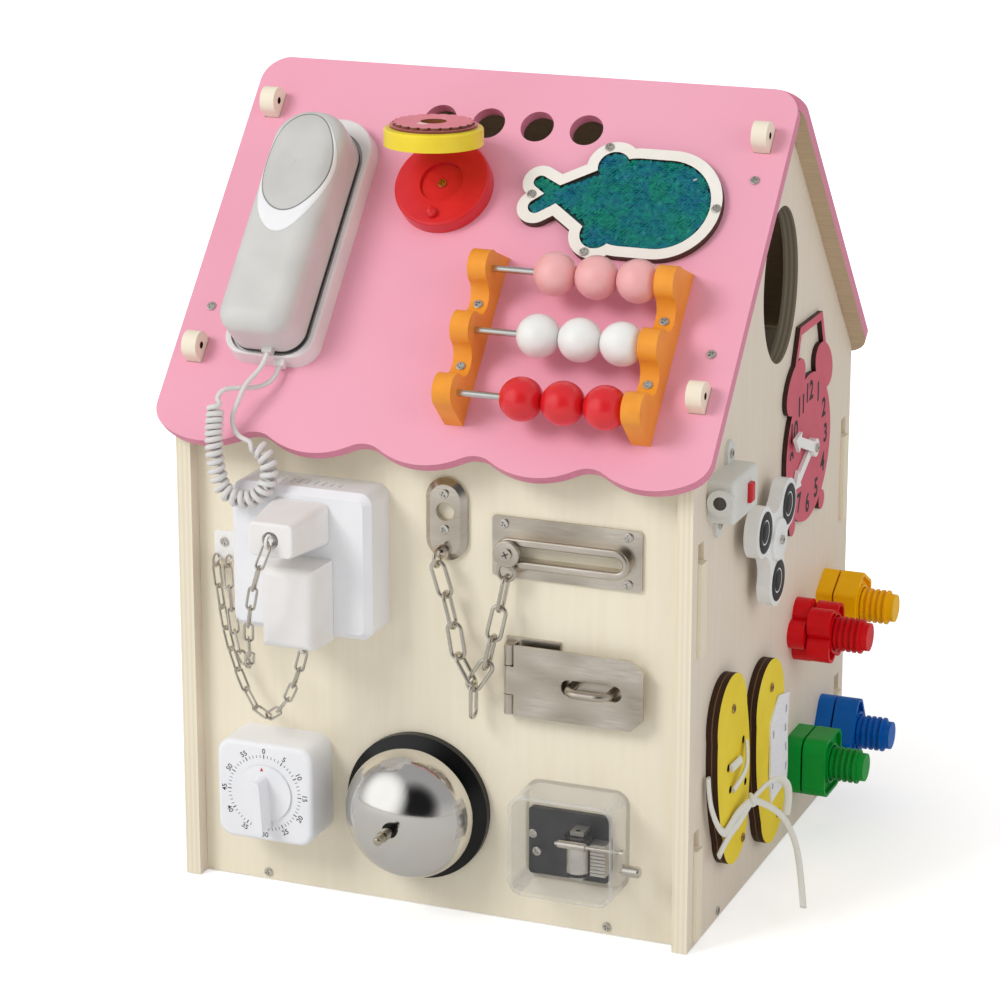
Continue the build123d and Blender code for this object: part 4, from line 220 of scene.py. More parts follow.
# %% [markdown]
# ## The floor
# The floor is a sheet of white paper. It keeps the soft shadow of the house, so it is an ordinary matt
# surface, and a little glow that only the camera sees, stronger away from the house, lifts the open paper
# to white. Metal sees the paper a little greyer, as it would in a real room.

# %% Paper floor
FLOOR_HALF = 6.0
FLOOR_DROP = 0.0005
PAPER_WHITE = (0.86, 0.86, 0.86, 1)
PAPER_IN_METAL = (0.68, 0.67, 0.66, 1)
GLOW_FROM = (0.22, 0.60)
GLOW = (0.42, 0.80)
SQUARE = ((-1, -1), (1, -1), (1, 1), (-1, 1))
floor_mesh = bpy.data.meshes.new("paper floor")
floor_mesh.from_pydata([(a * FLOOR_HALF, b * FLOOR_HALF, 0) for a, b in SQUARE], [], [(0, 1, 2, 3)])
floor = bpy.data.objects.new("paper_floor", floor_mesh)
floor.location.z = -FLOOR_DROP
bpy.context.collection.objects.link(floor)

paper = bpy.data.materials.new("white paper")
paper.use_nodes = True
floor_mesh.materials.append(paper)
sheet = paper.node_tree
matt = sheet.nodes["Principled BSDF"]
matt.inputs["Roughness"].default_value = 0.9
matt.inputs["Specular IOR Level"].default_value = 0.1
matt.inputs["Emission Color"].default_value = WHITE
rays = add_node(sheet, "ShaderNodeLightPath").outputs
spot = add_node(sheet, "ShaderNodeTexCoord").outputs["Object"]
from_house = add_node(sheet, "ShaderNodeVectorMath", {0: spot}, operation="LENGTH").outputs["Value"]
rise = {"Value": from_house, "From Min": GLOW_FROM[0], "From Max": GLOW_FROM[1]}
rise.update({"To Min": GLOW[0], "To Max": GLOW[1]})
glow = add_node(sheet, "ShaderNodeMapRange", rise).outputs[0]
seen_glow = {0: glow, 1: rays["Is Camera Ray"]}
seen_glow = add_node(sheet, "ShaderNodeMath", seen_glow, operation="MULTIPLY").outputs[0]
shades = {0: rays["Is Glossy Ray"], 6: PAPER_WHITE, 7: PAPER_IN_METAL}
shade = add_node(sheet, "ShaderNodeMix", shades, data_type="RGBA").outputs[2]
sheet.links.new(shade, matt.inputs["Base Color"])
sheet.links.new(seen_glow, matt.inputs["Emission Strength"])
print("floor", round(2 * FLOOR_HALF, 1), "m across")

# %% [markdown]
# ## How a finish is written
# Each finish is a Principled surface whose colour, gloss and relief come from nodes, never one flat colour.
# Colours are given as 0 to 255, the way a colour chart prints them, and turned into light values. Patterns
# read the object's own coordinates, so a grain stays on its piece when the piece moves.

# %% Finish helpers
SHARP_EDGE = math.radians(32)


def tone(red, green, blue):
    """A colour chart's 0 to 255 as light values."""
    light = []
    for part in (red, green, blue):
        share = part / 255
        light.append(share / 12.92 if share <= 0.04045 else ((share + 0.055) / 1.055) ** 2.4)
    return (*light, 1.0)


class Finish:
    """A material with short calls for the nodes that this house needs."""

    def __init__(self, name, rough=0.5, metal=0.0, **sockets):
        self.material = bpy.data.materials.new(name)
        self.material.use_nodes = True
        self.tree = self.material.node_tree
        self.shader = self.tree.nodes["Principled BSDF"]
        self.shader.inputs["Roughness"].default_value = rough
        self.shader.inputs["Metallic"].default_value = metal
        for socket, value in sockets.items():
            self.shader.inputs[socket.replace("_", " ")].default_value = value
        self.where = self.tree.nodes.new("ShaderNodeTexCoord")
        self.place = self.where.outputs["Object"]

    def node(self, kind, inputs=(), **settings):
        """One node of this finish."""
        return add_node(self.tree, kind, inputs, **settings)

    def into(self, source, socket):
        """Links a value or colour that varies into the surface."""
        self.tree.links.new(source, self.shader.inputs[socket])
        return self

    def sum(self, kind, first, second=0.0):
        """One step of arithmetic."""
        return self.node("ShaderNodeMath", {0: first, 1: second}, operation=kind).outputs[0]

    def along(self, way, source=None):
        """How far a place lies along a direction."""
        given = {0: source or self.place, 1: way}
        return self.node("ShaderNodeVectorMath", given, operation="DOT_PRODUCT").outputs["Value"]

    def between(self, way, low, high):
        """1 where a place lies between two distances along a direction, else 0."""
        reach = self.along(way)
        above = self.sum("GREATER_THAN", reach, low)
        return self.sum("MULTIPLY", above, self.sum("LESS_THAN", reach, high))

    def facing(self, way, least=0.6):
        """1 on faces that look along a direction, else 0."""
        return self.sum("GREATER_THAN", self.along(way, self.where.outputs["Normal"]), least)

    def facing_both(self, way, least=0.6):
        """1 on faces that look along a direction or against it."""
        square = self.sum("ABSOLUTE", self.along(way, self.where.outputs["Normal"]))
        return self.sum("GREATER_THAN", square, least)

    def near_axis(self, middle, way, radius):
        """1 near a line through a point along a direction, else 0."""
        given = {0: self.place, 1: tuple(middle)}
        apart = self.node("ShaderNodeVectorMath", given, operation="SUBTRACT").outputs[0]
        aside = self.node("ShaderNodeVectorMath", {0: apart, 1: way}, operation="CROSS_PRODUCT").outputs[0]
        distance = self.node("ShaderNodeVectorMath", {0: aside}, operation="LENGTH").outputs["Value"]
        return self.sum("LESS_THAN", distance, radius)

    def noise(self, stretch=(1, 1, 1), scale=30.0, detail=3.0):
        """Soft random patches, stretched to make grain."""
        spread = self.node("ShaderNodeMapping", {"Vector": self.place, "Scale": stretch}).outputs[0]
        given = {"Vector": spread, "Scale": scale, "Detail": detail}
        return self.node("ShaderNodeTexNoise", given).outputs["Fac"]

    def cells(self, scale):
        """How far a place lies from the middle of its cell, in a pattern of random cells."""
        given = {"Vector": self.place, "Scale": scale}
        return self.node("ShaderNodeTexVoronoi", given, feature="F1").outputs["Distance"]

    def contrast(self, source, low, high):
        """Spreads a narrow range to 0 and 1."""
        given = {"Value": source, "From Min": low, "From Max": high}
        return self.node("ShaderNodeMapRange", given).outputs[0]

    def cloud(self, scale, detail=2):
        """Even random patches with clear light and dark."""
        return self.contrast(self.noise((1, 1, 1), scale, detail), 0.3, 0.7)

    def mix(self, share, first, second):
        """One colour turning into another."""
        return self.node("ShaderNodeMix", {0: share, 6: first, 7: second}, data_type="RGBA").outputs[2]

    def two_tone(self, share, first, second):
        """One colour of the chart turning into another."""
        return self.mix(share, tone(*first), tone(*second))

    def colour(self, source):
        """The surface's own colour."""
        return self.into(source, "Base Color")

    def gloss(self, source, low, high):
        """Roughness that drifts between two values."""
        given = {"Value": source, "To Min": low, "To Max": high}
        return self.into(self.node("ShaderNodeMapRange", given).outputs[0], "Roughness")

    def relief(self, source, depth, strength=1.0):
        """Fine relief of a real depth in metres."""
        raised = self.node("ShaderNodeBump", {"Height": source, "Distance": depth, "Strength": strength})
        return self.into(raised.outputs[0], "Normal")


def wear(finish, *pieces):
    """Puts one finish on pieces of the frame, with smooth curved faces and sharp corners."""
    for piece in pieces:
        mesh = nodes[piece].data
        mesh.materials.clear()
        mesh.materials.append(finish.material)
        mesh.shade_smooth()
        mesh.set_sharp_from_angle(angle=SHARP_EDGE)


print("finish helpers ready")

# %% [markdown]
# ## Plywood
# The walls are thin plywood with a clear cream wash. The faces show a faint upright grain and the sawn
# edges show the layers, a little darker. Which is which follows from where a face looks: along the panel's
# thickness it is a face, otherwise it is a sawn edge. The round window was cut after the wash, so it is
# brown. The side walls get a darker wash than the front as painted shade. They have lugs that come up
# through the roof, plain at their ends, each with a dark disc of painted shade where its hole is.

# %% Plywood panels
FRONT_WASH = ((244, 235, 213), (241, 231, 208), (237, 225, 200))
# the side walls' wash is darker than the front's: painted shade
SIDE_WASH_IN_PAINTED_SHADE = ((233, 221, 204), (230, 217, 200), (226, 212, 193))
PLY_LAYERS = 3.0 * MM
WINDOW_UP = (300 * MM, 402 * MM)
WINDOW_ALONG = (-36 * MM, 36 * MM)
LUGS_DOWN = (34.0, 198.0)
LUG_EYE_OUT = 6.0
LUG_EYE_RADIUS = 2.1 * MM


def window_cut(finish, sawn, layer):
    """Brown on the sawn edge of the round window."""
    cut = finish.two_tone(layer, (158, 146, 128), (132, 120, 102))
    near = finish.sum("MULTIPLY", finish.between(UP, *WINDOW_UP), finish.between(BACK, *WINDOW_ALONG))
    return finish.mix(near, sawn, cut)


def lugs_with_eyes(finish, panel):
    """Plain lugs above both roof boards, with a dark disc of painted shade for the hole in each front one.
    """
    above_front = finish.between(OUT_SLOPE, ROOF_TOP, FAR)
    lug = finish.sum("MAXIMUM", above_front, finish.between(OUT_BACK_SLOPE, ROOF_TOP, FAR))
    panel = finish.mix(lug, panel, tone(243, 233, 211))
    for down in LUGS_DOWN:
        hole_shade = finish.near_axis(on_roof(0, down, LUG_EYE_OUT), ACROSS, LUG_EYE_RADIUS)
        # each lug's hole is a dark disc of painted shade
        panel = finish.mix(hole_shade, panel, tone(52, 38, 30))
    return panel


def plywood(name, through, side=False):
    """Washed plywood, layered along one direction; a side wall adds window, lugs and darker painted shade.
    """
    finish = Finish(name, rough=0.5, Specular_IOR_Level=0.35)
    grain = finish.noise((9, 9, 0.7), 24, 5)
    streak = finish.noise((60, 60, 2.5), 22, 3)
    pale, mid, dark = SIDE_WASH_IN_PAINTED_SHADE if side else FRONT_WASH
    face = finish.two_tone(finish.contrast(grain, 0.32, 0.7), pale, mid)
    face = finish.mix(finish.contrast(streak, 0.6, 0.9), face, tone(*dark))
    layer = finish.sum("SINE", finish.sum("MULTIPLY", finish.along(through), 2 * math.pi / PLY_LAYERS))
    layer = finish.contrast(layer, -0.6, 0.6)
    sawn = finish.two_tone(layer, (240, 230, 208), (234, 222, 197))
    if side:
        sawn = window_cut(finish, sawn, layer)
    panel = finish.mix(finish.facing_both(through), sawn, face)
    if side:
        panel = lugs_with_eyes(finish, panel)
    finish.colour(panel)
    finish.gloss(grain, 0.42, 0.58)
    return finish.relief(streak, 0.00005, 0.4)


wear(plywood("washed plywood side", RIGHT, side=True), "left_wall", "right_wall")
wear(plywood("washed plywood front", BACK), "front_wall", "back_wall")
wear(plywood("washed plywood floor", UP), "floor_panel")
print("plywood on 5 panels")

# %% [markdown]
# ## The pink roof
# The roof boards are painted pink outside and along their edges, and left bare underneath. Paint on plywood
# is satin, with a faint grain in its gloss. The underside is found by where a face looks, as on the walls.

# %% Painted roof boards


def roof_paint(name, outward):
    """Pink outside, deeper pink on the edges, bare wood underneath."""
    finish = Finish(name, rough=0.45, Specular_IOR_Level=0.4)
    fine = finish.noise((2, 40, 40), 30, 3)
    pink = finish.two_tone(finish.cloud(9), (241, 170, 191), (238, 164, 185))
    edge = finish.two_tone(finish.contrast(fine, 0.35, 0.65), (228, 142, 168), (218, 130, 156))
    bare = finish.two_tone(finish.contrast(fine, 0.3, 0.7), (206, 184, 154), (188, 164, 134))
    paint = finish.mix(finish.facing(outward, 0.7), edge, pink)
    finish.colour(finish.mix(finish.facing(-outward, 0.7), paint, bare))
    finish.gloss(fine, 0.38, 0.5)
    return finish.relief(fine, 0.00005, 0.5)


wear(roof_paint("pink roof front", OUT_SLOPE), "front_roof")
wear(roof_paint("pink roof back", OUT_BACK_SLOPE), "back_roof")
print("pink paint on 2 boards")

# %% [markdown]
# ## Plastics, paints and lacquers
# Most toys have one colour each. Moulded plastic drifts a little in tone and has a soft skin, lacquered
# wood is glossier with a clear coat. One function makes both, from a colour, a second tone and how glossy
# it is.

# %% Moulded and lacquered pieces
SOFT_DEPTH = 4 * MM


def moulded(name, first, second, rough, coat=0.0, skin=0.00003, soft=0.0, shine=0.5):
    """One colour drifting into a second under a fine skin; soft lets light into the plastic."""
    finish = Finish(name, rough=rough, Coat_Weight=coat, Coat_Roughness=0.12, Specular_IOR_Level=shine)
    finish.shader.inputs["Subsurface Weight"].default_value = soft
    if soft:
        finish.shader.inputs["Subsurface Scale"].default_value = SOFT_DEPTH
    speck = finish.noise((1, 1, 1), 900, 2)
    finish.colour(finish.two_tone(finish.cloud(45), first, second))
    finish.gloss(speck, rough - 0.02, rough + 0.03)
    return finish.relief(speck, skin, 0.4)


white_shell = moulded("white shell", (241, 241, 243), (236, 237, 241), 0.36)
wear(white_shell, "socket_box", "timer_case", "timer_knob")
wear(moulded("warm white plug", (240, 238, 236), (234, 231, 228), 0.38), "small_plug", "large_plug")
# the cradle's colour is darkened and tinted pink: painted shade and a painted pink reflection
wear(moulded("cradle white with painted shade", (232, 227, 226), (224, 219, 218), 0.32, coat=0.2), "phone_cradle")
wear(moulded("red lacquer", (220, 38, 44), (208, 26, 36), 0.34, coat=0.3), "compact_base")
wear(moulded("black enamel", (10, 10, 11), (15, 15, 16), 0.3, coat=0.1, shine=0.3), "bell_base")
wear(moulded("torch red", (214, 30, 40), (200, 22, 34), 0.35), "torch_button")
wear(moulded("white hand", (244, 243, 240), (236, 235, 232), 0.42), "clock_hour_hand", "clock_minute_hand")
wear(moulded("spinner white", (240, 240, 238), (232, 232, 231), 0.34, coat=0.2), "spinner")
print("moulded and lacquered pieces dressed")

# %% Beads in three rows, nuts in four colours
BEAD_SKIN = 0.000004
BEAD_TONES = {
    "pink": ((243, 182, 180), (238, 170, 170), 0.3, 0.5),
    "white": ((244, 243, 240), (236, 236, 233), 0.3, 0.4),
    "red": ((226, 30, 38), (216, 22, 32), 0.28, 0.5),
}
for name, (first, second, rough, coat) in BEAD_TONES.items():
    row = [f"bead_{name}_{place}" for place in (1, 2, 3)]
    wear(moulded(f"{name} bead", first, second, rough, coat=coat, skin=BEAD_SKIN), *row)

NUT_ROUGH = 0.36
NUT_SHINE = 0.22
NUT_TONES = {
    "yellow": ((255, 196, 0), (250, 186, 0)),
    "red": ((226, 14, 28), (214, 8, 22)),
    "blue": ((4, 104, 196), (2, 94, 184)),
    "green": ((4, 160, 58), (2, 146, 50)),
}
for name, (first, second) in NUT_TONES.items():
    softness = 0.15 if name == "yellow" else 0.1
    wear(moulded(f"{name} nut", first, second, NUT_ROUGH, soft=softness, shine=NUT_SHINE), f"nut_{name}")
print("beads", 3 * len(BEAD_TONES), "nuts", len(NUT_TONES))

# %% [markdown]
# ## Pieces of more than one colour
# Some frame pieces are one solid but several materials on the real toy: a torch with a bright lens, steel
# rods between orange rails, four coloured bolts, the layered shoe soles, plates with dark scorched edges
# where a laser cut them. The handset gets a dark band along its lower edge, painted shade in the gap above
# its cradle. The colour is picked by where a point lies or where its face looks.

# %% Handset with painted gap shade, torch with its lens
HANDSET_GAP_SHADE = 12.6 * MM
silver_shell = Finish("silver handset with painted gap shade", rough=0.36, Coat_Weight=0.2, Coat_Roughness=0.15)
# a dark band along the handset's lower edge: painted shade in the gap above its cradle
gap_shade = silver_shell.between(OUT_SLOPE, 0.0, ROOF_TOP + HANDSET_GAP_SHADE)
silver = silver_shell.two_tone(silver_shell.cloud(45), (210, 209, 205), (203, 202, 198))
silver_shell.colour(silver_shell.mix(gap_shade, silver, tone(46, 44, 42)))
wear(silver_shell, "phone_handset")

TORCH_MIDDLE = on_side(-128.0, 258.0, 8.0)
TORCH_FRONT = -130.5 * MM
TORCH_LENS_RADIUS = 3.8 * MM
torch = Finish("torch shell and bright lens", rough=0.35)
lens = torch.near_axis(TORCH_MIDDLE, BACK, TORCH_LENS_RADIUS)
lens = torch.sum("MULTIPLY", torch.between(BACK, -FAR, TORCH_FRONT), lens)
grey_shell = torch.two_tone(torch.cloud(45), (222, 221, 215), (214, 214, 208))
torch.colour(torch.mix(lens, grey_shell, tone(84, 82, 76)))
torch.into(lens, "Metallic").gloss(lens, 0.35, 0.12)
wear(torch, "torch_case")
print("handset and torch dressed")

# %% Rails with rods, bolts
ROD_SPAN = (21.3 * MM, 119.2 * MM)
rails = Finish("orange rails and steel rods", rough=0.4)
rod = rails.between(RIGHT, *ROD_SPAN)
wood = rails.two_tone(rails.cloud(60, 3), (243, 160, 52), (234, 146, 40))
rails.colour(rails.mix(rod, wood, tone(205, 203, 200)))
rails.into(rod, "Metallic").gloss(rod, 0.42, 0.22)
wear(rails, "abacus_frame")

BOLTS_REAR = 76.0 * MM
BOLTS_HIGH = 87.5 * MM
bolts = Finish("four bolt colours", rough=NUT_ROUGH, Subsurface_Weight=0.12, Specular_IOR_Level=NUT_SHINE)
bolts.shader.inputs["Subsurface Scale"].default_value = SOFT_DEPTH
cloud = bolts.cloud(45)
bolt_shades = {name: bolts.two_tone(cloud, *tones) for name, tones in NUT_TONES.items()}
rear = bolts.between(BACK, BOLTS_REAR, FAR)
upper = bolts.mix(rear, bolt_shades["red"], bolt_shades["yellow"])
lower = bolts.mix(rear, bolt_shades["green"], bolt_shades["blue"])
bolts.colour(bolts.mix(bolts.between(UP, BOLTS_HIGH, FAR), lower, upper))
wear(bolts, "wall_bolts")
print("rails and bolts dressed")

# %% Laser-cut plates and layered soles
SCORCH_DEPTH = 0.7
SOLE_JOINT = ((SIDE_FACE + 3.2) * MM, (SIDE_FACE + 3.8) * MM)


def cut_plate(name, outward, face, second, scorched):
    """A painted plate whose cut sides are scorched dark."""
    finish = Finish(name, rough=0.5, Specular_IOR_Level=0.3)
    sides = finish.two_tone(finish.cloud(500), scorched, [part * SCORCH_DEPTH for part in scorched])
    paint = finish.two_tone(finish.cloud(50, 3), face, second)
    finish.colour(finish.mix(finish.facing(outward, 0.7), sides, paint))
    return finish.relief(finish.noise((1, 1, 1), 700, 2), 0.00004, 0.4)


wear(cut_plate("white fish board", OUT_SLOPE, (240, 236, 228), (234, 229, 219), (88, 64, 50)), "fish_frame")
wear(cut_plate("rose clock board", RIGHT, (214, 98, 116), (206, 90, 108), (70, 38, 34)), "clock_face")

soles = Finish("layered shoe soles", rough=0.55, Specular_IOR_Level=0.12)
yellow = soles.two_tone(soles.cloud(40, 3), (242, 218, 66), (236, 208, 52))
layers = soles.two_tone(soles.between(RIGHT, *SOLE_JOINT), (62, 42, 30), (120, 92, 64))
soles.colour(soles.mix(soles.facing(RIGHT, 0.7), layers, yellow))
wear(soles, "shoe_soles")
print("plates and soles dressed")

# %% Lid of the compact
TOPPER_UP = 442.7 * MM
ICING_SPOT = 0.24
lid = Finish("yellow lid and its topper", rough=0.36, Coat_Weight=0.25)
cloud = lid.cloud(50)
yellow = lid.two_tone(cloud, (244, 220, 48), (238, 210, 40))
glaze = lid.two_tone(cloud, (232, 128, 136), (226, 118, 128))
icing = lid.mix(lid.sum("LESS_THAN", lid.cells(75.0), ICING_SPOT), glaze, tone(244, 214, 206))
biscuit = lid.two_tone(cloud, (128, 74, 52), (104, 58, 42))
topper = lid.mix(lid.facing(UP, 0.7), biscuit, icing)
lid.colour(lid.mix(lid.between(UP, TOPPER_UP, FAR), yellow, topper))
wear(lid, "compact_lid")
print("lid dressed")

# %% [markdown]
# ## Metals
# Three sorts of metal show: satin sheet steel with fine brushing on the locks, polished nickel on the bell,
# and plated wire on chains, screws and the music works. Brushing is a noise stretched along one direction
# that changes the gloss and raises fine lines.

# %% Plated wire, bell
SHALLOW = 0.35


def metal(name, first, second, rough, depth=0.00002, spread=0.08):
    """Plain metal of two tones, with a fine uneven gloss."""
    finish = Finish(name, rough=rough, metal=1.0)
    patches = finish.noise((1, 1, 1), 60, 4)
    finish.colour(finish.two_tone(finish.contrast(patches, 0.3, 0.7), first, second))
    finish.gloss(patches, rough - spread, rough + spread)
    return finish.relief(patches, depth, SHALLOW)


plated_wire = metal("plated wire", (220, 215, 205), (198, 192, 182), 0.2)
wear(plated_wire, "music_crank")
wear(metal("worn nickel plunger", (206, 198, 182), (182, 172, 152), 0.2), "bell_plunger")
wear(metal("polished nickel", (226, 224, 220), (222, 220, 216), 0.1, 0.000002, 0.02), "bell_dome")
print("wire and bell dressed")

# %% Sheet steel
BRUSHING = (2, 16, 16)
BRACKET_ACROSS = (-200 * MM, -122 * MM)
BRACKET_OUT = (-145.2 * MM, -140 * MM)
HOLDER_ACROSS = (-30 * MM, 35 * MM)


def rolled(finish, lines):
    """Sheet steel: painted reflection of a room as broad light and dark patches, under fine brushing."""
    reflection_share = finish.contrast(finish.noise((1, 1, 2), 26, 1), 0.36, 0.64)
    painted_reflection = finish.two_tone(reflection_share, (178, 168, 154), (236, 229, 217))
    return finish.mix(finish.contrast(lines, 0.2, 0.8), painted_reflection, tone(206, 197, 184))


satin_steel = Finish("satin sheet steel", rough=0.3, metal=1.0)
lines = satin_steel.noise(BRUSHING, 40, 4)
# the satin steel's colour holds broad patches of painted reflection
satin_steel.colour(rolled(satin_steel, lines)).gloss(lines, 0.26, 0.34).relief(lines, 0.00001, SHALLOW)
wear(satin_steel, "hasp_base", "hasp_cover", "slide_knob")

plates = Finish("steel plates and a white bracket", rough=0.36)
bracket = plates.sum("MULTIPLY", plates.between(RIGHT, *BRACKET_ACROSS), plates.between(BACK, *BRACKET_OUT))
# the steel plates' colour holds the same painted reflection
steel = rolled(plates, plates.noise(BRUSHING, 40, 4))
plates.colour(plates.mix(bracket, steel, tone(244, 243, 240)))
plates.into(plates.sum("SUBTRACT", 1.0, bracket), "Metallic")
plates.gloss(plates.between(RIGHT, *HOLDER_ACROSS), 0.3, 0.19)
wear(plates, "door_chain_plates")
print("locks and plates dressed")

# %% Music works
WORKS_RAISED = (-200 * MM, -146.5 * MM)
DRUM_BAND = (41.5 * MM, 57.5 * MM)
PIN_DEPTH = 0.2 * MM
works = Finish("dark bed plate and pale brackets", rough=0.34, metal=0.85)
grain = works.cloud(90, 3)
bed = works.two_tone(grain, (78, 78, 80), (60, 60, 63))
brackets = works.two_tone(grain, (206, 203, 196), (192, 188, 180))
works.colour(works.mix(works.between(BACK, *WORKS_RAISED), bed, brackets))
wear(works, "music_movement")

drum = Finish("bright drum with dark ends", rough=0.26, metal=1.0)
grain = drum.cloud(120, 3)
dark_ends = drum.two_tone(grain, (74, 74, 76), (56, 56, 58))
bright = drum.two_tone(grain, (222, 219, 212), (206, 202, 195))
drum.colour(drum.mix(drum.between(UP, *DRUM_BAND), dark_ends, bright))
drum.relief(drum.cells(900.0), PIN_DEPTH, 0.5)
wear(drum, "music_cylinder")
print("music works dressed")

# %% Screws of nickel and brass
SHOE_SCREWS_UP = (12 * MM, 160 * MM)
SHOE_SCREWS_OUT = (162.5 * MM, 200 * MM)
COMPACT_SCREW_ACROSS = (-34 * MM, -24 * MM)
COMPACT_SCREW_UP = (380 * MM, 430 * MM)
screws = Finish("plated and brass screws", rough=0.28, metal=1.0)
patch = screws.contrast(screws.noise((1, 1, 1), 300, 3), 0.35, 0.65)
nickel = screws.two_tone(patch, (228, 224, 216), (200, 196, 188))
brass = screws.two_tone(patch, (206, 172, 104), (170, 134, 76))
on_shoes = screws.between(UP, *SHOE_SCREWS_UP)
on_shoes = screws.sum("MULTIPLY", on_shoes, screws.between(RIGHT, *SHOE_SCREWS_OUT))
on_compact = screws.between(RIGHT, *COMPACT_SCREW_ACROSS)
on_compact = screws.sum("MULTIPLY", on_compact, screws.between(UP, *COMPACT_SCREW_UP))
screws.colour(screws.mix(screws.sum("MAXIMUM", on_shoes, on_compact), nickel, brass))
screws.gloss(patch, 0.2, 0.36)
wear(screws, "screws_and_pins")
print("screws dressed")

# %% [markdown]
# ## Clear plastic
# The music works sit in a clear moulded box. Its walls are thin, so they are a faint white film that lets
# most of the light straight through. On the sides, and most on the rounded corner edges, the film is made
# denser as painted reflection, the whitish shine of clear plastic on faces that turn away from the front.

# %% Clear box
CORNER_FILM_AND_REFLECTION, SIDE_FILM_AND_REFLECTION, FILM_FRONT = 0.36, 0.22, 0.03
FLAT = 0.97
clear = Finish("clear box", rough=0.06, Specular_IOR_Level=0.6)
clear.colour(clear.two_tone(clear.cloud(30), (222, 221, 220), (212, 211, 210)))
# denser film on the sides and corner edges: painted reflection over the real faint film
flat_side = clear.sum("MAXIMUM", clear.facing_both(RIGHT, FLAT), clear.facing_both(UP, FLAT))
film_and_reflection = {"Value": flat_side, "To Min": CORNER_FILM_AND_REFLECTION, "To Max": SIDE_FILM_AND_REFLECTION}
film_and_reflection = clear.node("ShaderNodeMapRange", film_and_reflection).outputs[0]
film_and_reflection = {0: clear.facing_both(BACK, FLAT), 2: film_and_reflection, 3: FILM_FRONT}
clear.into(clear.node("ShaderNodeMix", film_and_reflection, data_type="FLOAT").outputs[0], "Alpha")
wear(clear, "music_case")
print("clear box dressed")

# %% [markdown]
# ## Making new pieces
# New meshes are gathered from points and faces in a small function, given a finish and set to ride on a
# body of the frame. A tube follows a line of points: a ring of points is carried along without twisting,
# and turned to stay square to the line. The line itself is Blender's own smooth curve, read back as points.

# %% Mesh helpers
SMOOTH_BEND = math.radians(40)
SAME_PLACE = 0.05 * MM


def show(name, data):
    """Puts a mesh or curve into the scene."""
    piece = bpy.data.objects.new(name, data)
    bpy.context.collection.objects.link(piece)
    return piece


def read_mesh(piece):
    """The mesh that Blender makes of a curve or of letters."""
    bpy.context.view_layer.update()
    return bpy.data.meshes.new_from_object(piece.evaluated_get(bpy.context.evaluated_depsgraph_get()))


def new_piece(name, points, faces, finish, smooth=True):
    """A piece from points and faces, with its finish."""
    mesh = bpy.data.meshes.new(name)
    mesh.from_pydata([tuple(point) for point in points], [], faces)
    mesh.validate()
    mesh.materials.append(finish.material)
    if smooth:
        mesh.shade_smooth()
        mesh.set_sharp_from_angle(angle=SMOOTH_BEND)
    return show(name, mesh)


def bands(rings, count):
    """Faces between rings of points that follow each other."""
    faces = []
    for ring in range(rings - 1):
        low, high = ring * count, (ring + 1) * count
        for step in range(count):
            turn = (step + 1) % count
            faces.append((low + step, low + turn, high + turn, high + step))
    return faces


print("mesh helpers ready")

# %% Lines and tubes


def route_points(name, controls, fineness):
    """Points along a smooth line that the control points pull into shape."""
    curve = bpy.data.curves.new(name, "CURVE")
    curve.dimensions = "3D"
    spline = curve.splines.new("NURBS")
    spline.points.add(len(controls) - 1)
    for point, place in zip(spline.points, controls):
        point.co = (*place, 1.0)
    spline.order_u = 3
    spline.use_endpoint_u = True
    spline.resolution_u = fineness
    route = show(name, curve)
    line = read_mesh(route)
    found = [vertex.co.copy() for vertex in line.vertices]
    bpy.data.objects.remove(route)
    bpy.data.meshes.remove(line)
    kept = [found[0]]
    for point in found[1:]:
        if (point - kept[-1]).length > SAME_PLACE:
            kept.append(point)
    return kept


def length_of(points):
    """The length along a line of points."""
    return sum((after - before).length for before, after in zip(points, points[1:]))


def tube(points, section, first_out=RIGHT, swell=None):
    """Points and faces of a closed tube; section gives the ring as (out, across) pairs, swell its scale."""
    made = []
    out = Vector(first_out)
    count, last = len(section), len(points) - 1
    for index, point in enumerate(points):
        way = (points[min(last, index + 1)] - points[max(0, index - 1)]).normalized()
        out = (out - way * out.dot(way)).normalized()
        across = way.cross(out)
        scale = swell[index] if swell else 1.0
        made.extend(point + (out * high + across * wide) * scale for high, wide in section)
    caps = [tuple(reversed(range(count))), tuple(range(last * count, (last + 1) * count))]
    return made, bands(len(points), count) + caps


def oval(high, wide, count=12):
    """An oval ring for a tube."""
    turns = [2 * math.pi * step / count for step in range(count)]
    return [(math.cos(turn) * high / 2, math.sin(turn) * wide / 2) for turn in turns]


print("line and tube helpers ready")

# %% [markdown]
# ## The telephone cord
# A plain lead leaves the cradle, winds into tight curls that hang over the eaves in a loop, and a plain
# lead goes up into the handset. The whole cord is one smooth line. Its curls are points on a circle carried
# along the hanging loop, closer together where the cord hangs straight. The wire is a little thicker in the
# curls, which lie against each other. The lead at the handset is a tube of its own.

# %% Cord route
CORD = 2.8 * MM
CURL_WIRE = 3.25 * MM
CURL_RADIUS = 3.75 * MM
CURL_PITCH = 3.5 * MM
CURL_BEND_PITCH = 4.9 * MM
CURL_STRAIGHT = 20.0 * MM
CURL_LEAD = 5.5 * MM
CURL_GATHER = 8.0 * MM
POINTS_IN_A_TURN = 16
FINE = 40
PLAIN_STEP = 0.8


def ease(share):
    """A soft start and a soft stop between 0 and 1."""
    share = max(0.0, min(1.0, share))
    return share * share * (3 - 2 * share)


def millimetres(*places):
    """Places in metres from millimetres."""
    return [Vector(place) * MM for place in places]


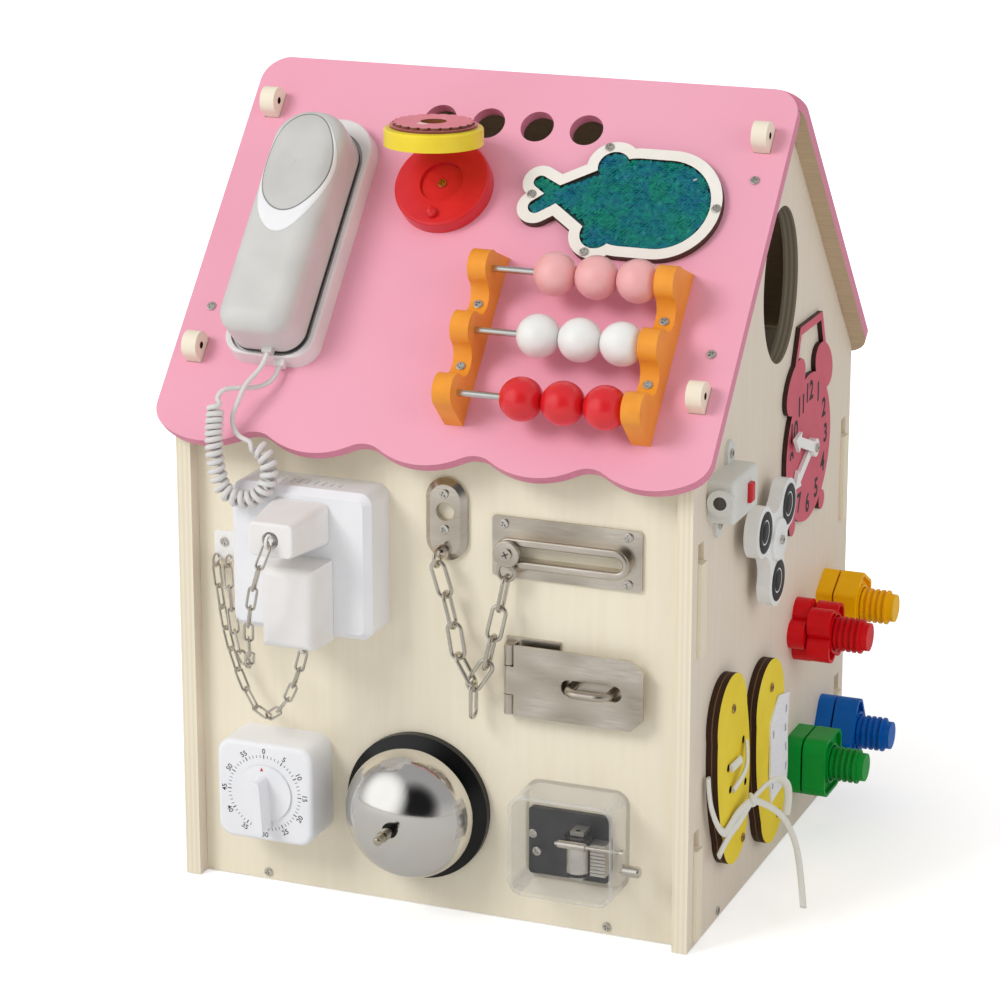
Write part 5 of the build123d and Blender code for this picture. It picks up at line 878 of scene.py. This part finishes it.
curl_top, curl_end = millimetres((-118.6, -172.5, 300.0), (-100.0, -170.5, 275.8))
base_lead = [on_roof(-95.5, 206.45, 5.5), on_roof(-95.5, 214.45, 5.5)]
base_lead += millimetres((-102.4, -152.5, 302.3), (-110.2, -160.8, 303.6), (-117.0, -169.0, 304.2))
handset_lead = [on_roof(-100.5, 203.2, 14.8), on_roof(-100.5, 212.2, 14.8)]
handset_lead += millimetres(
    (-106.5, -160.5, 307.0),
    (-110.0, -164.5, 296.0),
    (-112.8, -168.0, 286.8),
    (-108.6, -169.1, 278.1),
)
hanging_loop = millimetres(
    (-118.7, -177.5, 286.0),
    (-117.3, -180.2, 271.0),
    (-116.0, -180.0, 259.0),
    (-112.6, -179.2, 247.4),
    (-101.0, -177.6, 242.6),
    (-89.4, -176.0, 247.4),
    (-85.0, -174.3, 260.5),
    (-90.4, -172.2, 272.6),
)
loop_line = route_points("hanging loop", [curl_top] + hanging_loop + [curl_end], 24)
reach = length_of(loop_line)
print("hanging loop", round(reach, 4))

# %% Curls along the loop
curl_points = []
out = ACROSS
turn, since, along = 0.0, 0.0, 0.0
for before, after in zip(loop_line, loop_line[1:]):
    way = (after - before).normalized()
    out = (out - way * out.dot(way)).normalized()
    step = (after - before).length / FINE
    for part in range(FINE):
        ends = min(along, reach - along)
        size = CURL_RADIUS * ease(ends / CURL_LEAD)
        spoke = out * math.cos(turn) + way.cross(out) * math.sin(turn)
        if since >= 2 * math.pi / POINTS_IN_A_TURN or not (since or curl_points):
            curl_points.append(before + (after - before) * (part / FINE) + spoke * size)
            since = 0.0
        opened = ease((along - CURL_STRAIGHT) / CURL_STRAIGHT)
        pitch = CURL_PITCH + (CURL_BEND_PITCH - CURL_PITCH) * opened
        swing = 2 * math.pi * step / pitch * ease(ends / CURL_GATHER) ** 2
        turn += swing
        since += max(swing, step / CURL_RADIUS * PLAIN_STEP)
        along += step
print("curls", round(turn / 2 / math.pi, 1), "points", len(curl_points))

# %% Cord tubes
SWELL_REACH = 12.0 * MM
vinyl = moulded("grey white vinyl", (224, 222, 220), (212, 210, 208), 0.4, soft=0.1)
whole_cord = route_points("cord", base_lead + curl_points + [curl_end] + handset_lead[::-1], 3)
split = min(range(len(whole_cord)), key=lambda index: (whole_cord[index] - curl_end).length)
curly_part, plain_part = whole_cord[: split + 1], whole_cord[split:]
wire_at = [0.0]
for before, after in zip(curly_part, curly_part[1:]):
    wire_at.append(wire_at[-1] + (after - before).length)
lead_reach = length_of(base_lead)
swelling = []
for here in wire_at:
    in_curls = ease((here - lead_reach) / SWELL_REACH) * ease((wire_at[-1] - here) / SWELL_REACH)
    swelling.append(1 + (CURL_WIRE / CORD - 1) * in_curls)

curly_cord = new_piece("phone_curly_cord", *tube(curly_part, oval(CORD, CORD), swell=swelling), vinyl)
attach(curly_cord, "house")
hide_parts("phone_base_lead", "phone_coil_cord")
upper_lead = new_piece("phone_upper_lead", *tube(plain_part, oval(CORD, CORD)), vinyl)
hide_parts("phone_handset_lead")
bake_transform(upper_lead)
print("curly part", round(length_of(curly_part), 4), "plain part", round(length_of(plain_part), 4))

# %% [markdown]
# ## The chains
# Three chains hang between the wall and something that moves: two plugs and the knob of the door chain.
# Each chain is a copy of the frame's links with the plated finish, shown in place of the frame's chain.

# %% Chains as plated copies
LINK_EDGE = math.radians(60)


def hanging_chain(name, source, moving, start, end):
    """A plated copy of a chain, shown in place of the frame's; moving, start and end are not used."""
    links = nodes[source].data.copy()
    links.materials.clear()
    links.materials.append(plated_wire.material)
    links.shade_smooth()
    links.set_sharp_from_angle(angle=LINK_EDGE)
    chain = show(name, links)
    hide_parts(source)
    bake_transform(chain)


SMALL_CHAIN = on_front(-126, 192, 8), on_front(-70, 230, 62)
LARGE_CHAIN = on_front(-134, 192, 6), on_front(-62.3, 160, 41)
DOOR_CHAIN = on_front(10, 205, 10), on_front(47.7, 207, 10)
hanging_chain("small_plug_links", "small_plug_chain", "small_plug", *SMALL_CHAIN)
hanging_chain("large_plug_links", "large_plug_chain", "large_plug", *LARGE_CHAIN)
hanging_chain("door_chain_links", "door_chain", "slide_knob", *DOOR_CHAIN)
print("chains ready")

# %% [markdown]
# ## The laces
# A flat white lace is threaded through the nearer sole and tied, with two tails and a loop. A lace is a
# flat tube, wider than thick, and its weave shows as a fine diagonal relief. The knot is a short length of
# the same lace wound round itself.

# %% Lace routes
SOLE_TOP = 7.0
LACE_OUT = SOLE_TOP + 1.8
KNOT = (-75.7, 66.2, SOLE_TOP + 5.8)
lace_routes = {
    "lace_left_tail": (
        KNOT,
        (-92.0, 65.0, LACE_OUT + 1),
        (-107.0, 59.5, LACE_OUT),
        (-117.5, 60.0, LACE_OUT + 0.6),
        (-125.5, 70.0, 7.0),
        (-127.5, 84.0, 3.6),
        (-128.0, 97.0, 3.2),
    ),
    "lace_left_end": (
        KNOT,
        (-93.0, 59.0, LACE_OUT + 2.5),
        (-109.0, 55.0, LACE_OUT),
        (-124.0, 49.7, 9.0),
    ),
    "lace_right_loop": (
        KNOT,
        (-67.0, 75.0, 19.0),
        (-55.5, 74.0, 25.0),
        (-50.0, 63.0, 27.5),
        (-52.0, 50.0, 26.0),
    ),
    "lace_right_tail": (
        KNOT,
        (-64.0, 59.0, 24.0),
        (-67.0, 44.0, 36.0),
        (-80.0, 28.0, 44.0),
        (-94.0, 13.0, 50.0),
    ),
    "lace_stitch": (
        (-76.7, 102.4, LACE_OUT),
        (-80.0, 92.0, LACE_OUT + 2.5),
        (-89.0, 84.5, LACE_OUT + 2.5),
        (-99.3, 80.0, LACE_OUT),
    ),
    "lace_short_stitch": ((-103.7, 94.6, LACE_OUT), (-94.0, 94.2, LACE_OUT), (-86.5, 94.0, LACE_OUT)),
}
print("lace strands", len(lace_routes))

# %% Lace strands
LACE_WIDE = 5.0 * MM
LACE_THICK = 2.3 * MM
LACE_OUTWARD = (1, 0.3, 0.2)
woven = Finish("woven white lace", rough=0.8, Sheen_Weight=0.2)
threads = {"Vector": woven.place, "Scale": 700.0, "Distortion": 1.5}
weave = woven.node("ShaderNodeTexWave", threads, bands_direction="DIAGONAL").outputs["Fac"]
woven.colour(woven.two_tone(weave, (240, 238, 230), (222, 219, 208)))
woven.relief(weave, 0.00015, 0.6)

laces, lace_lines = {}, {}
for name, route in lace_routes.items():
    line = route_points(name, [on_side(*point) for point in route], 10)
    laces[name] = new_piece(name, *tube(line, oval(LACE_THICK, LACE_WIDE, 14), LACE_OUTWARD), woven)
    lace_lines[name] = line
    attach(laces[name], "house")
    print(name, round(length_of(line), 4))

# %% Lace knot
KNOT_SIZE = 1.25 * MM
KNOT_THICK, KNOT_WIDE = 2.6 * MM, 3.2 * MM
KNOT_DEEP, KNOT_FLAT = 1.1, 0.8


def knot_line(middle, size, steps=90):
    """A line that winds round itself three times, as a pulled knot does."""
    line = []
    for step in range(steps):
        turn = 2 * math.pi * step / steps
        ring = size * (2 + math.cos(3 * turn))
        out = math.sin(3 * turn) * size * KNOT_DEEP
        line.append(middle + Vector((out, math.cos(2 * turn) * ring, math.sin(2 * turn) * ring * KNOT_FLAT)))
    return line


wound = knot_line(on_side(*KNOT), KNOT_SIZE)
knot = new_piece("lace_knot", *tube(wound, oval(KNOT_THICK, KNOT_WIDE, 10)), woven)
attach(knot, "house")
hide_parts("shoe_lace")

# %% [markdown]
# ## The strap of the second shoe
# A thin white strap lies over the second sole, with a row of small dark slots for a lace. It is a flat
# sheet with a slight bow, so its outline is filled with faces, cut finer, each point lifted a little, and
# given a thickness.

# %% Shoe strap
STRAP_OUTLINE = ((-26, 94), (-12, 107), (8, 103), (7, 48), (-22, 43), (-27, 62))
STRAP_SLOTS = [(3.0, up) for up in (58, 70, 82, 94)] + [(-21.0, up) for up in (54, 86)]
SLOT_HALF = (1.5, 2.5)
STRAP_THICK = 1.1 * MM
STRAP_LIFT = 0.25
felt = Finish("white strap", rough=0.75, Sheen_Weight=0.15)
nap = felt.noise((1, 1, 1), 900, 3)
felt.colour(felt.two_tone(felt.contrast(nap, 0.3, 0.7), (242, 242, 246), (228, 228, 234)))
felt.relief(nap, 0.0001, 0.5)

outlines = [STRAP_OUTLINE]
outlines += [[(x + SLOT_HALF[0] * a, y + SLOT_HALF[1] * b) for a, b in SQUARE] for x, y in STRAP_SLOTS]
cloth = bmesh.new()
edges = []
for outline in outlines:
    ring = [cloth.verts.new((along, up, 0)) for along, up in outline]
    edges += [cloth.edges.new((corner, ring[(index + 1) % len(ring)])) for index, corner in enumerate(ring)]
bmesh.ops.triangle_fill(cloth, use_beauty=True, use_dissolve=False, edges=edges)
for _ in range(3):
    bmesh.ops.subdivide_edges(cloth, edges=cloth.edges[:], cuts=1)
bmesh.ops.recalc_face_normals(cloth, faces=cloth.faces[:])
for vertex in cloth.verts:
    along, up = vertex.co.x, vertex.co.y
    bow = 0.5 + 0.35 * math.sin(up * 0.13 + along * 0.05)
    vertex.co = on_side(along, up, SOLE_TOP + STRAP_LIFT + bow)
strap_mesh = bpy.data.meshes.new("shoe_strap_sheet")
cloth.to_mesh(strap_mesh)
cloth.free()
strap_mesh.materials.append(felt.material)
strap = show("shoe_strap_sheet", strap_mesh)
thick = strap.modifiers.new("thickness", "SOLIDIFY")
thick.thickness = STRAP_THICK
thick.offset = 0.0
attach(strap, "house")
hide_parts("shoe_strap")
print("strap points", len(strap_mesh.vertices))

# %% [markdown]
# ## Sequins
# The fish is filled with overlapping blue-green sequins that catch the light one by one. Each is a small
# disc, laid in staggered rows, tilted a little at random from a fixed seed, and its colour is picked per
# disc: mostly the sequins' own tones, with some pale teal ones as painted glints.

# %% Sequin finish
SEQUIN_TONES_AND_GLINT = {
    0.0: (0, 120, 110),
    0.2: (0, 172, 146),
    0.5: (0, 190, 104),
    0.72: (20, 130, 210),
    # the pale teal stop is a painted glint; the other stops are the sequins' own tones
    0.9: (110, 230, 200),
    1.0: (0, 84, 110),
}
OWN_TONE = 0.75
sequin = Finish("blue green sequin", rough=0.34, metal=0.2, Coat_Weight=0.15)
pick = sequin.node("ShaderNodeNewGeometry").outputs["Random Per Island"]
picked = sequin.node("ShaderNodeValToRGB", {"Fac": pick})
stops = picked.color_ramp.elements
for spot, shade in SEQUIN_TONES_AND_GLINT.items():
    stop = stops[0] if spot == 0.0 else stops[1] if spot == 1.0 else stops.new(spot)
    stop.position = spot
    stop.color = tone(*shade)
patches = sequin.contrast(sequin.noise((1, 1, 1), 70, 2), 0.35, 0.65)
drift = sequin.two_tone(patches, (0, 186, 118), (4, 128, 188))
sequin.colour(sequin.mix(OWN_TONE, drift, picked.outputs["Color"]))
wear(moulded("sequin backing", (6, 60, 62), (4, 48, 54), 0.6), "fish_sequins")
print("sequin tones", len(SEQUIN_TONES_AND_GLINT))

# %% Outline of the fish
FISH_ACROSS, FISH_DOWN = 90.0, 82.5
NOSE, BELLY, NECK = (13.0, 0.0, 28.5), (-5.0, 0.0, 28.5), (-49.0, 1.5, 5.0)
FINS = ((-20.5, 22.0, 9.5), (-20.5, -21.5, 9.7))
TAILS = ((-61.5, 8.5, 4.0), (-60.5, -7.5, 4.5))
TAPERS = [(NOSE, BELLY), (BELLY, NECK)] + [(NECK, tail) for tail in TAILS]


def in_taper(across, up, start, end, margin):
    """Whether a place lies in the shape that two circles and their touching sides make."""
    first, last = Vector(start[:2]), Vector(end[:2])
    run = last - first
    share = (Vector((across, up)) - first).dot(run) / run.length_squared
    share = max(0.0, min(1.0, share))
    radius = start[2] + (end[2] - start[2]) * share
    return (Vector((across, up)) - first - run * share).length < radius - margin


def in_fish(across, up, margin):
    """Whether a sequin's middle lies in the fish's window: body, neck, tail lobes or fins."""
    if any(in_taper(across, up, start, end, margin) for start, end in TAPERS):
        return True
    return any(math.hypot(across - fin[0], up - fin[1]) < fin[2] - margin for fin in FINS)


print("fish made of", len(TAPERS) + len(FINS), "shapes")

# %% Sequin rows
SEQUIN = 1.5
SEQUIN_SIDES = 8
SEQUIN_FLOOR = 3.25
SEQUIN_LIFT = 0.55
SEQUIN_MARGIN = 0.9
ROW_STEP, SEQUIN_STEP, STAGGER = SEQUIN * 0.95, SEQUIN * 1.6, SEQUIN * 0.8
FISH_LEFT, FISH_RIGHT, FISH_HALF = -75.0, 46.0, 33.0
random.seed(11)
points, faces = [], []
row = 0
up = -FISH_HALF
while up < FISH_HALF:
    across = FISH_LEFT + (row % 2) * STAGGER
    while across < FISH_RIGHT:
        lean = Vector((random.gauss(0, 0.16), random.gauss(0.16, 0.14), 1)).normalized()
        jog = random.uniform(-0.3, 0.3)
        if in_fish(across, up, SEQUIN_MARGIN):
            side_way = Vector((1, 0, -lean.x / lean.z)).normalized()
            up_way = lean.cross(side_way)
            first = len(points)
            centre = Vector((across + jog, up + jog, SEQUIN_FLOOR + SEQUIN_LIFT))
            for corner in range(SEQUIN_SIDES):
                turn = 2 * math.pi * corner / SEQUIN_SIDES
                flat = centre + side_way * math.cos(turn) * SEQUIN + up_way * math.sin(turn) * SEQUIN
                points.append(on_roof(FISH_ACROSS + flat.x, FISH_DOWN - flat.y, max(SEQUIN_FLOOR, flat.z)))
            faces.append(tuple(range(first, first + SEQUIN_SIDES)))
        across += SEQUIN_STEP
    row += 1
    up += ROW_STEP
sequins = new_piece("fish_sequin_scales", points, faces, sequin, smooth=False)
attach(sequins, "house")
print("sequins", len(faces))

# %% [markdown]
# ## Printed numbers and marks
# The timer's ring of minutes and the clock's hours are printed. Blender's own letters are turned into
# meshes and laid a hair above the face, each turned as on the real dial: numbers in the timer's upper half
# have their tops outward, those in its lower half have them inward, so that all can be read. Flat marks of
# the same kind give painted shade: dark under the strap's slots and grey in the cross of the knob's screw.

# %% Mark helpers
HAIR = 0.06
black_print_and_shade = moulded("black print and painted shade", (24, 24, 28), (34, 34, 38), 0.55)


def figure(text, height, heavy):
    """Flat points and faces of a number, centred, of a given height."""
    letters = bpy.data.curves.new("figure", "FONT")
    letters.body = text
    letters.size = 1.0
    letters.offset = heavy
    letters.align_x = "CENTER"
    shown = show("figure", letters)
    flat = read_mesh(shown)
    spots = [vertex.co.copy() for vertex in flat.vertices]
    shapes = [tuple(face.vertices) for face in flat.polygons]
    bpy.data.objects.remove(shown)
    low = Vector((min(spot.x for spot in spots), min(spot.y for spot in spots), 0))
    top = Vector((max(spot.x for spot in spots), max(spot.y for spot in spots), 0))
    scale = height / (top.y - low.y)
    return [(spot - (low + top) / 2) * scale for spot in spots], shapes


def bar(wide, tall):
    """Flat points and the one face of a bar."""
    return [Vector((a * wide / 2, b * tall / 2, 0)) for a, b in SQUARE], [(0, 1, 2, 3)]


def on_dial(middle, reach, turn):
    """A place on a round dial, clockwise from the top."""
    return middle[0] + math.sin(turn) * reach, middle[1] + math.cos(turn) * reach


def printed(name, place, marks, finish, body):
    """A piece of flat marks on one face, each given by its shape, its middle and its turn."""
    points, faces = [], []
    for spots, shapes, across, up, turn in marks:
        first = len(points)
        for spot in spots:
            x = spot.x * math.cos(turn) - spot.y * math.sin(turn)
            y = spot.x * math.sin(turn) + spot.y * math.cos(turn)
            points.append(place(across + x, up + y))
        faces.extend(tuple(first + index for index in shape) for shape in shapes)
    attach(new_piece(name, points, faces, finish, smooth=False), body)
    print(name, len(marks), "marks")


print("mark helpers ready")

# %% Painted shade in the strap's slots and in the cross of the knob's screw
SLOT_SHADE_SIZE = (3.4, 5.4)
SLOT_SHADE_LEVEL = SOLE_TOP + 0.1
CROSS_BARS = ((4.2, 0.9), (0.9, 4.2))
CROSS_TURN = math.radians(25)
CROSS_LIFT = 0.05
# dark marks under the strap's slots: painted shade where its holes are
slot_shade_marks = [(*bar(*SLOT_SHADE_SIZE), along, up, 0.0) for along, up in STRAP_SLOTS]
printed("strap_slot_marks", lambda along, up: on_side(along, up, SLOT_SHADE_LEVEL), slot_shade_marks, black_print_and_shade, "house")

knob_points = [vertex.co for vertex in nodes["slide_knob"].data.vertices]
knob_front = min(point.y for point in knob_points)
screw_ring = [point for point in knob_points if point.y < knob_front + 0.1 * MM]
knob_middle = sum(screw_ring, Vector()) / len(screw_ring)
cross_recess_shade = moulded("screw cross in painted shade", (104, 99, 92), (88, 84, 78), 0.5)
# the cross of the knob's screw is a grey mark: painted shade in its recess
cross = [(*bar(*size), 0.0, 0.0, CROSS_TURN) for size in CROSS_BARS]


def on_screw(across, up):
    """A place on the flat head of the knob's screw."""
    return knob_middle + Vector((across, -CROSS_LIFT, up)) * MM


printed("knob_screw_cross_shade", on_screw, cross, cross_recess_shade, "slide_knob")

# %% Timer minutes
TIMER = (-94.5, 66.5)
TIMER_FACE = 29.0
POINTER_OUT = TIMER_FACE + 1.1 + HAIR
POINTER_AT = (TIMER[0] - 1.0, TIMER[1] + 14.6)
TICKS_OUT, MINUTES_OUT = 22.2, 25.6
MINUTE_TALL, MINUTE_HEAVY = 3.1, 0.01
LONG_TICK, SHORT_TICK = (0.55, 2.4), (0.32, 1.8)
POINTER = ([Vector((-1.1, -1.0, 0)), Vector((1.1, -1.0, 0)), Vector((0, 1.3, 0))], [(0, 1, 2)])
marks = []
for minute in range(60):
    turn = 2 * math.pi * minute / 60
    tick = SHORT_TICK if minute % 5 else LONG_TICK
    marks.append((*bar(*tick), *on_dial(TIMER, TICKS_OUT, turn), -turn))
    if minute % 5 == 0:
        upright = math.pi - turn if 15 < minute < 45 else -turn
        number = figure(str(minute), MINUTE_TALL, MINUTE_HEAVY)
        marks.append((*number, *on_dial(TIMER, MINUTES_OUT, turn), upright))
printed("timer_minutes", lambda across, up: on_front(across, up, TIMER_FACE + HAIR), marks, black_print_and_shade, "house")
mark_red = moulded("red mark", (212, 40, 52), (200, 32, 44), 0.5)
pointer = [(*POINTER, *POINTER_AT, 0.0)]
printed(
    "timer_pointer", lambda across, up: on_front(across, up, POINTER_OUT), pointer, mark_red, "timer_knob"
)

# %% Clock hours
CLOCK = (53.7, 241.0)
CLOCK_FACE = 3.0
HOURS_OUT = 34.5
HOUR_TALL, HOUR_HEAVY = 12.0, 0.03
marks = []
for hour in range(1, 13):
    number = figure(str(hour), HOUR_TALL, HOUR_HEAVY)
    marks.append((*number, *on_dial(CLOCK, HOURS_OUT, 2 * math.pi * hour / 12), 0.0))
printed("clock_hours", lambda along, up: on_side(along, up, CLOCK_FACE + HAIR), marks, black_print_and_shade, "house")

# %% [markdown]
# ## The handset's inlay
# The ear end of the handset carries a smooth oval plate with a thin grey line round it and a pale crescent
# below. The plate is thin and follows the crowned shell, so its points are dropped onto the shell along the
# roof's outward direction and lifted a hair.

# %% Plates that lie on the shell
shell = nodes["phone_handset"].data
shell_faces = BVHTree.FromPolygons(
    [vertex.co for vertex in shell.vertices], [tuple(face.vertices) for face in shell.polygons]
)
ABOVE_SHELL, SHELL_TOP = 80.0, 42.0
PLATE_STEPS = 72
SUNK_EDGE = 0.35


def laid_on_handset(across, down, lift):
    """A point of the shell's outer face, lifted a little."""
    hit = shell_faces.ray_cast(on_roof(across, down, ABOVE_SHELL), -OUT_SLOPE)[0]
    return (hit or on_roof(across, down, SHELL_TOP)) + OUT_SLOPE * lift * MM


def oval_plate(name, finish, shape, rings, lift, inner=0.0):
    """A plate between two ovals, as rings of points; shape gives a point for a turn and a share outward."""
    points = []
    for ring in range(rings + 1):
        share = inner + (1 - inner) * ring / rings
        height = lift * (SUNK_EDGE if ring in (0, rings) else 1.0)
        for step in range(PLATE_STEPS):
            points.append(laid_on_handset(*shape(2 * math.pi * step / PLATE_STEPS, share), height))
    plate = new_piece(name, points, bands(rings + 1, PLATE_STEPS), finish)
    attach(plate, "handset")


print("shell faces", len(shell.polygons))

# %% Inlay, line and crescent
INLAY = (-104.5, 94.0)
INLAY_HALF_WIDE, INLAY_HALF_LONG = 20.0, 32.0
LINE_OUT = 1.012
BORDER_WIDE, BORDER_CHEEK, BORDER_LONG = 20.9, 0.9, 32.8
CRESCENT_DROP = 13.0


def egg(turn, share):
    """The oval of the plate."""
    across = math.sin(turn) * INLAY_HALF_WIDE * share
    return INLAY[0] + across, INLAY[1] - math.cos(turn) * INLAY_HALF_LONG * share


def line_round_egg(turn, share):
    """A line that goes just past the plate's rim."""
    return egg(turn, share * LINE_OUT)


def crescent(turn, share):
    """The oval's lower border, drawn out into a crescent below."""
    drop = max(0.0, -math.cos(turn)) ** 1.4 * CRESCENT_DROP
    wide = BORDER_WIDE + BORDER_CHEEK * max(0.0, math.sin(abs(turn - math.pi)))
    inner = Vector(egg(turn, 1.015))
    outer = Vector((INLAY[0] + math.sin(turn) * wide, INLAY[1] - math.cos(turn) * BORDER_LONG + drop))
    return inner.lerp(outer, share)


plate_grey = moulded("inlay silver", (204, 203, 200), (196, 195, 192), 0.3, coat=0.4)
line_grey = moulded("inlay line", (146, 145, 142), (138, 137, 134), 0.4)
border_white = moulded("inlay border", (242, 242, 243), (236, 236, 238), 0.3, coat=0.4)
oval_plate("handset_inlay", plate_grey, egg, 8, 0.5, inner=0.02)
oval_plate("handset_inlay_line", line_grey, line_round_egg, 2, 0.6, inner=0.976)
oval_plate("handset_border", border_white, crescent, 3, 0.4)
print("inlay laid on the handset")

# %% [markdown]
# ## The spinner's bearings
# Each of the spinner's three lobes holds a black bearing with a raised rim and a button in the middle. One
# profile is turned about the lobe's own axis, as on a lathe. The bearings don't move on their own, so they
# ride on the spinner.

# %% Spinner bearings
SPINNER = (-44.0, 213.5)
LOBES_OUT = 25.7
FIRST_LOBE = 36.0
BEARING_OUT = 14.4
BEARING_RIM = ((12.1, 0.0), (12.1, 0.55), (11.4, 0.9), (7.6, 0.9))
BEARING_BUTTON = ((7.0, 0.3), (5.2, 0.3), (4.6, 0.7), (0.05, 0.7))
BEARING = BEARING_RIM + BEARING_BUTTON
LATHE_STEPS = 48
points, faces = [], []
for lobe in range(3):
    angle = math.radians(FIRST_LOBE + 120 * lobe)
    along, up = SPINNER[0] + math.cos(angle) * LOBES_OUT, SPINNER[1] + math.sin(angle) * LOBES_OUT
    first = len(points)
    for radius, height in BEARING:
        for step in range(LATHE_STEPS):
            turn = 2 * math.pi * step / LATHE_STEPS
            rim = (along + math.cos(turn) * radius, up + math.sin(turn) * radius)
            points.append(on_side(*rim, BEARING_OUT + height))
    faces.extend(tuple(first + index for index in face) for face in bands(len(BEARING), LATHE_STEPS))
bearing_black = moulded("bearing black", (16, 16, 18), (24, 24, 26), 0.45)
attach(new_piece("spinner_bearings", points, faces, bearing_black), "spinner")
print("bearing points", len(points))
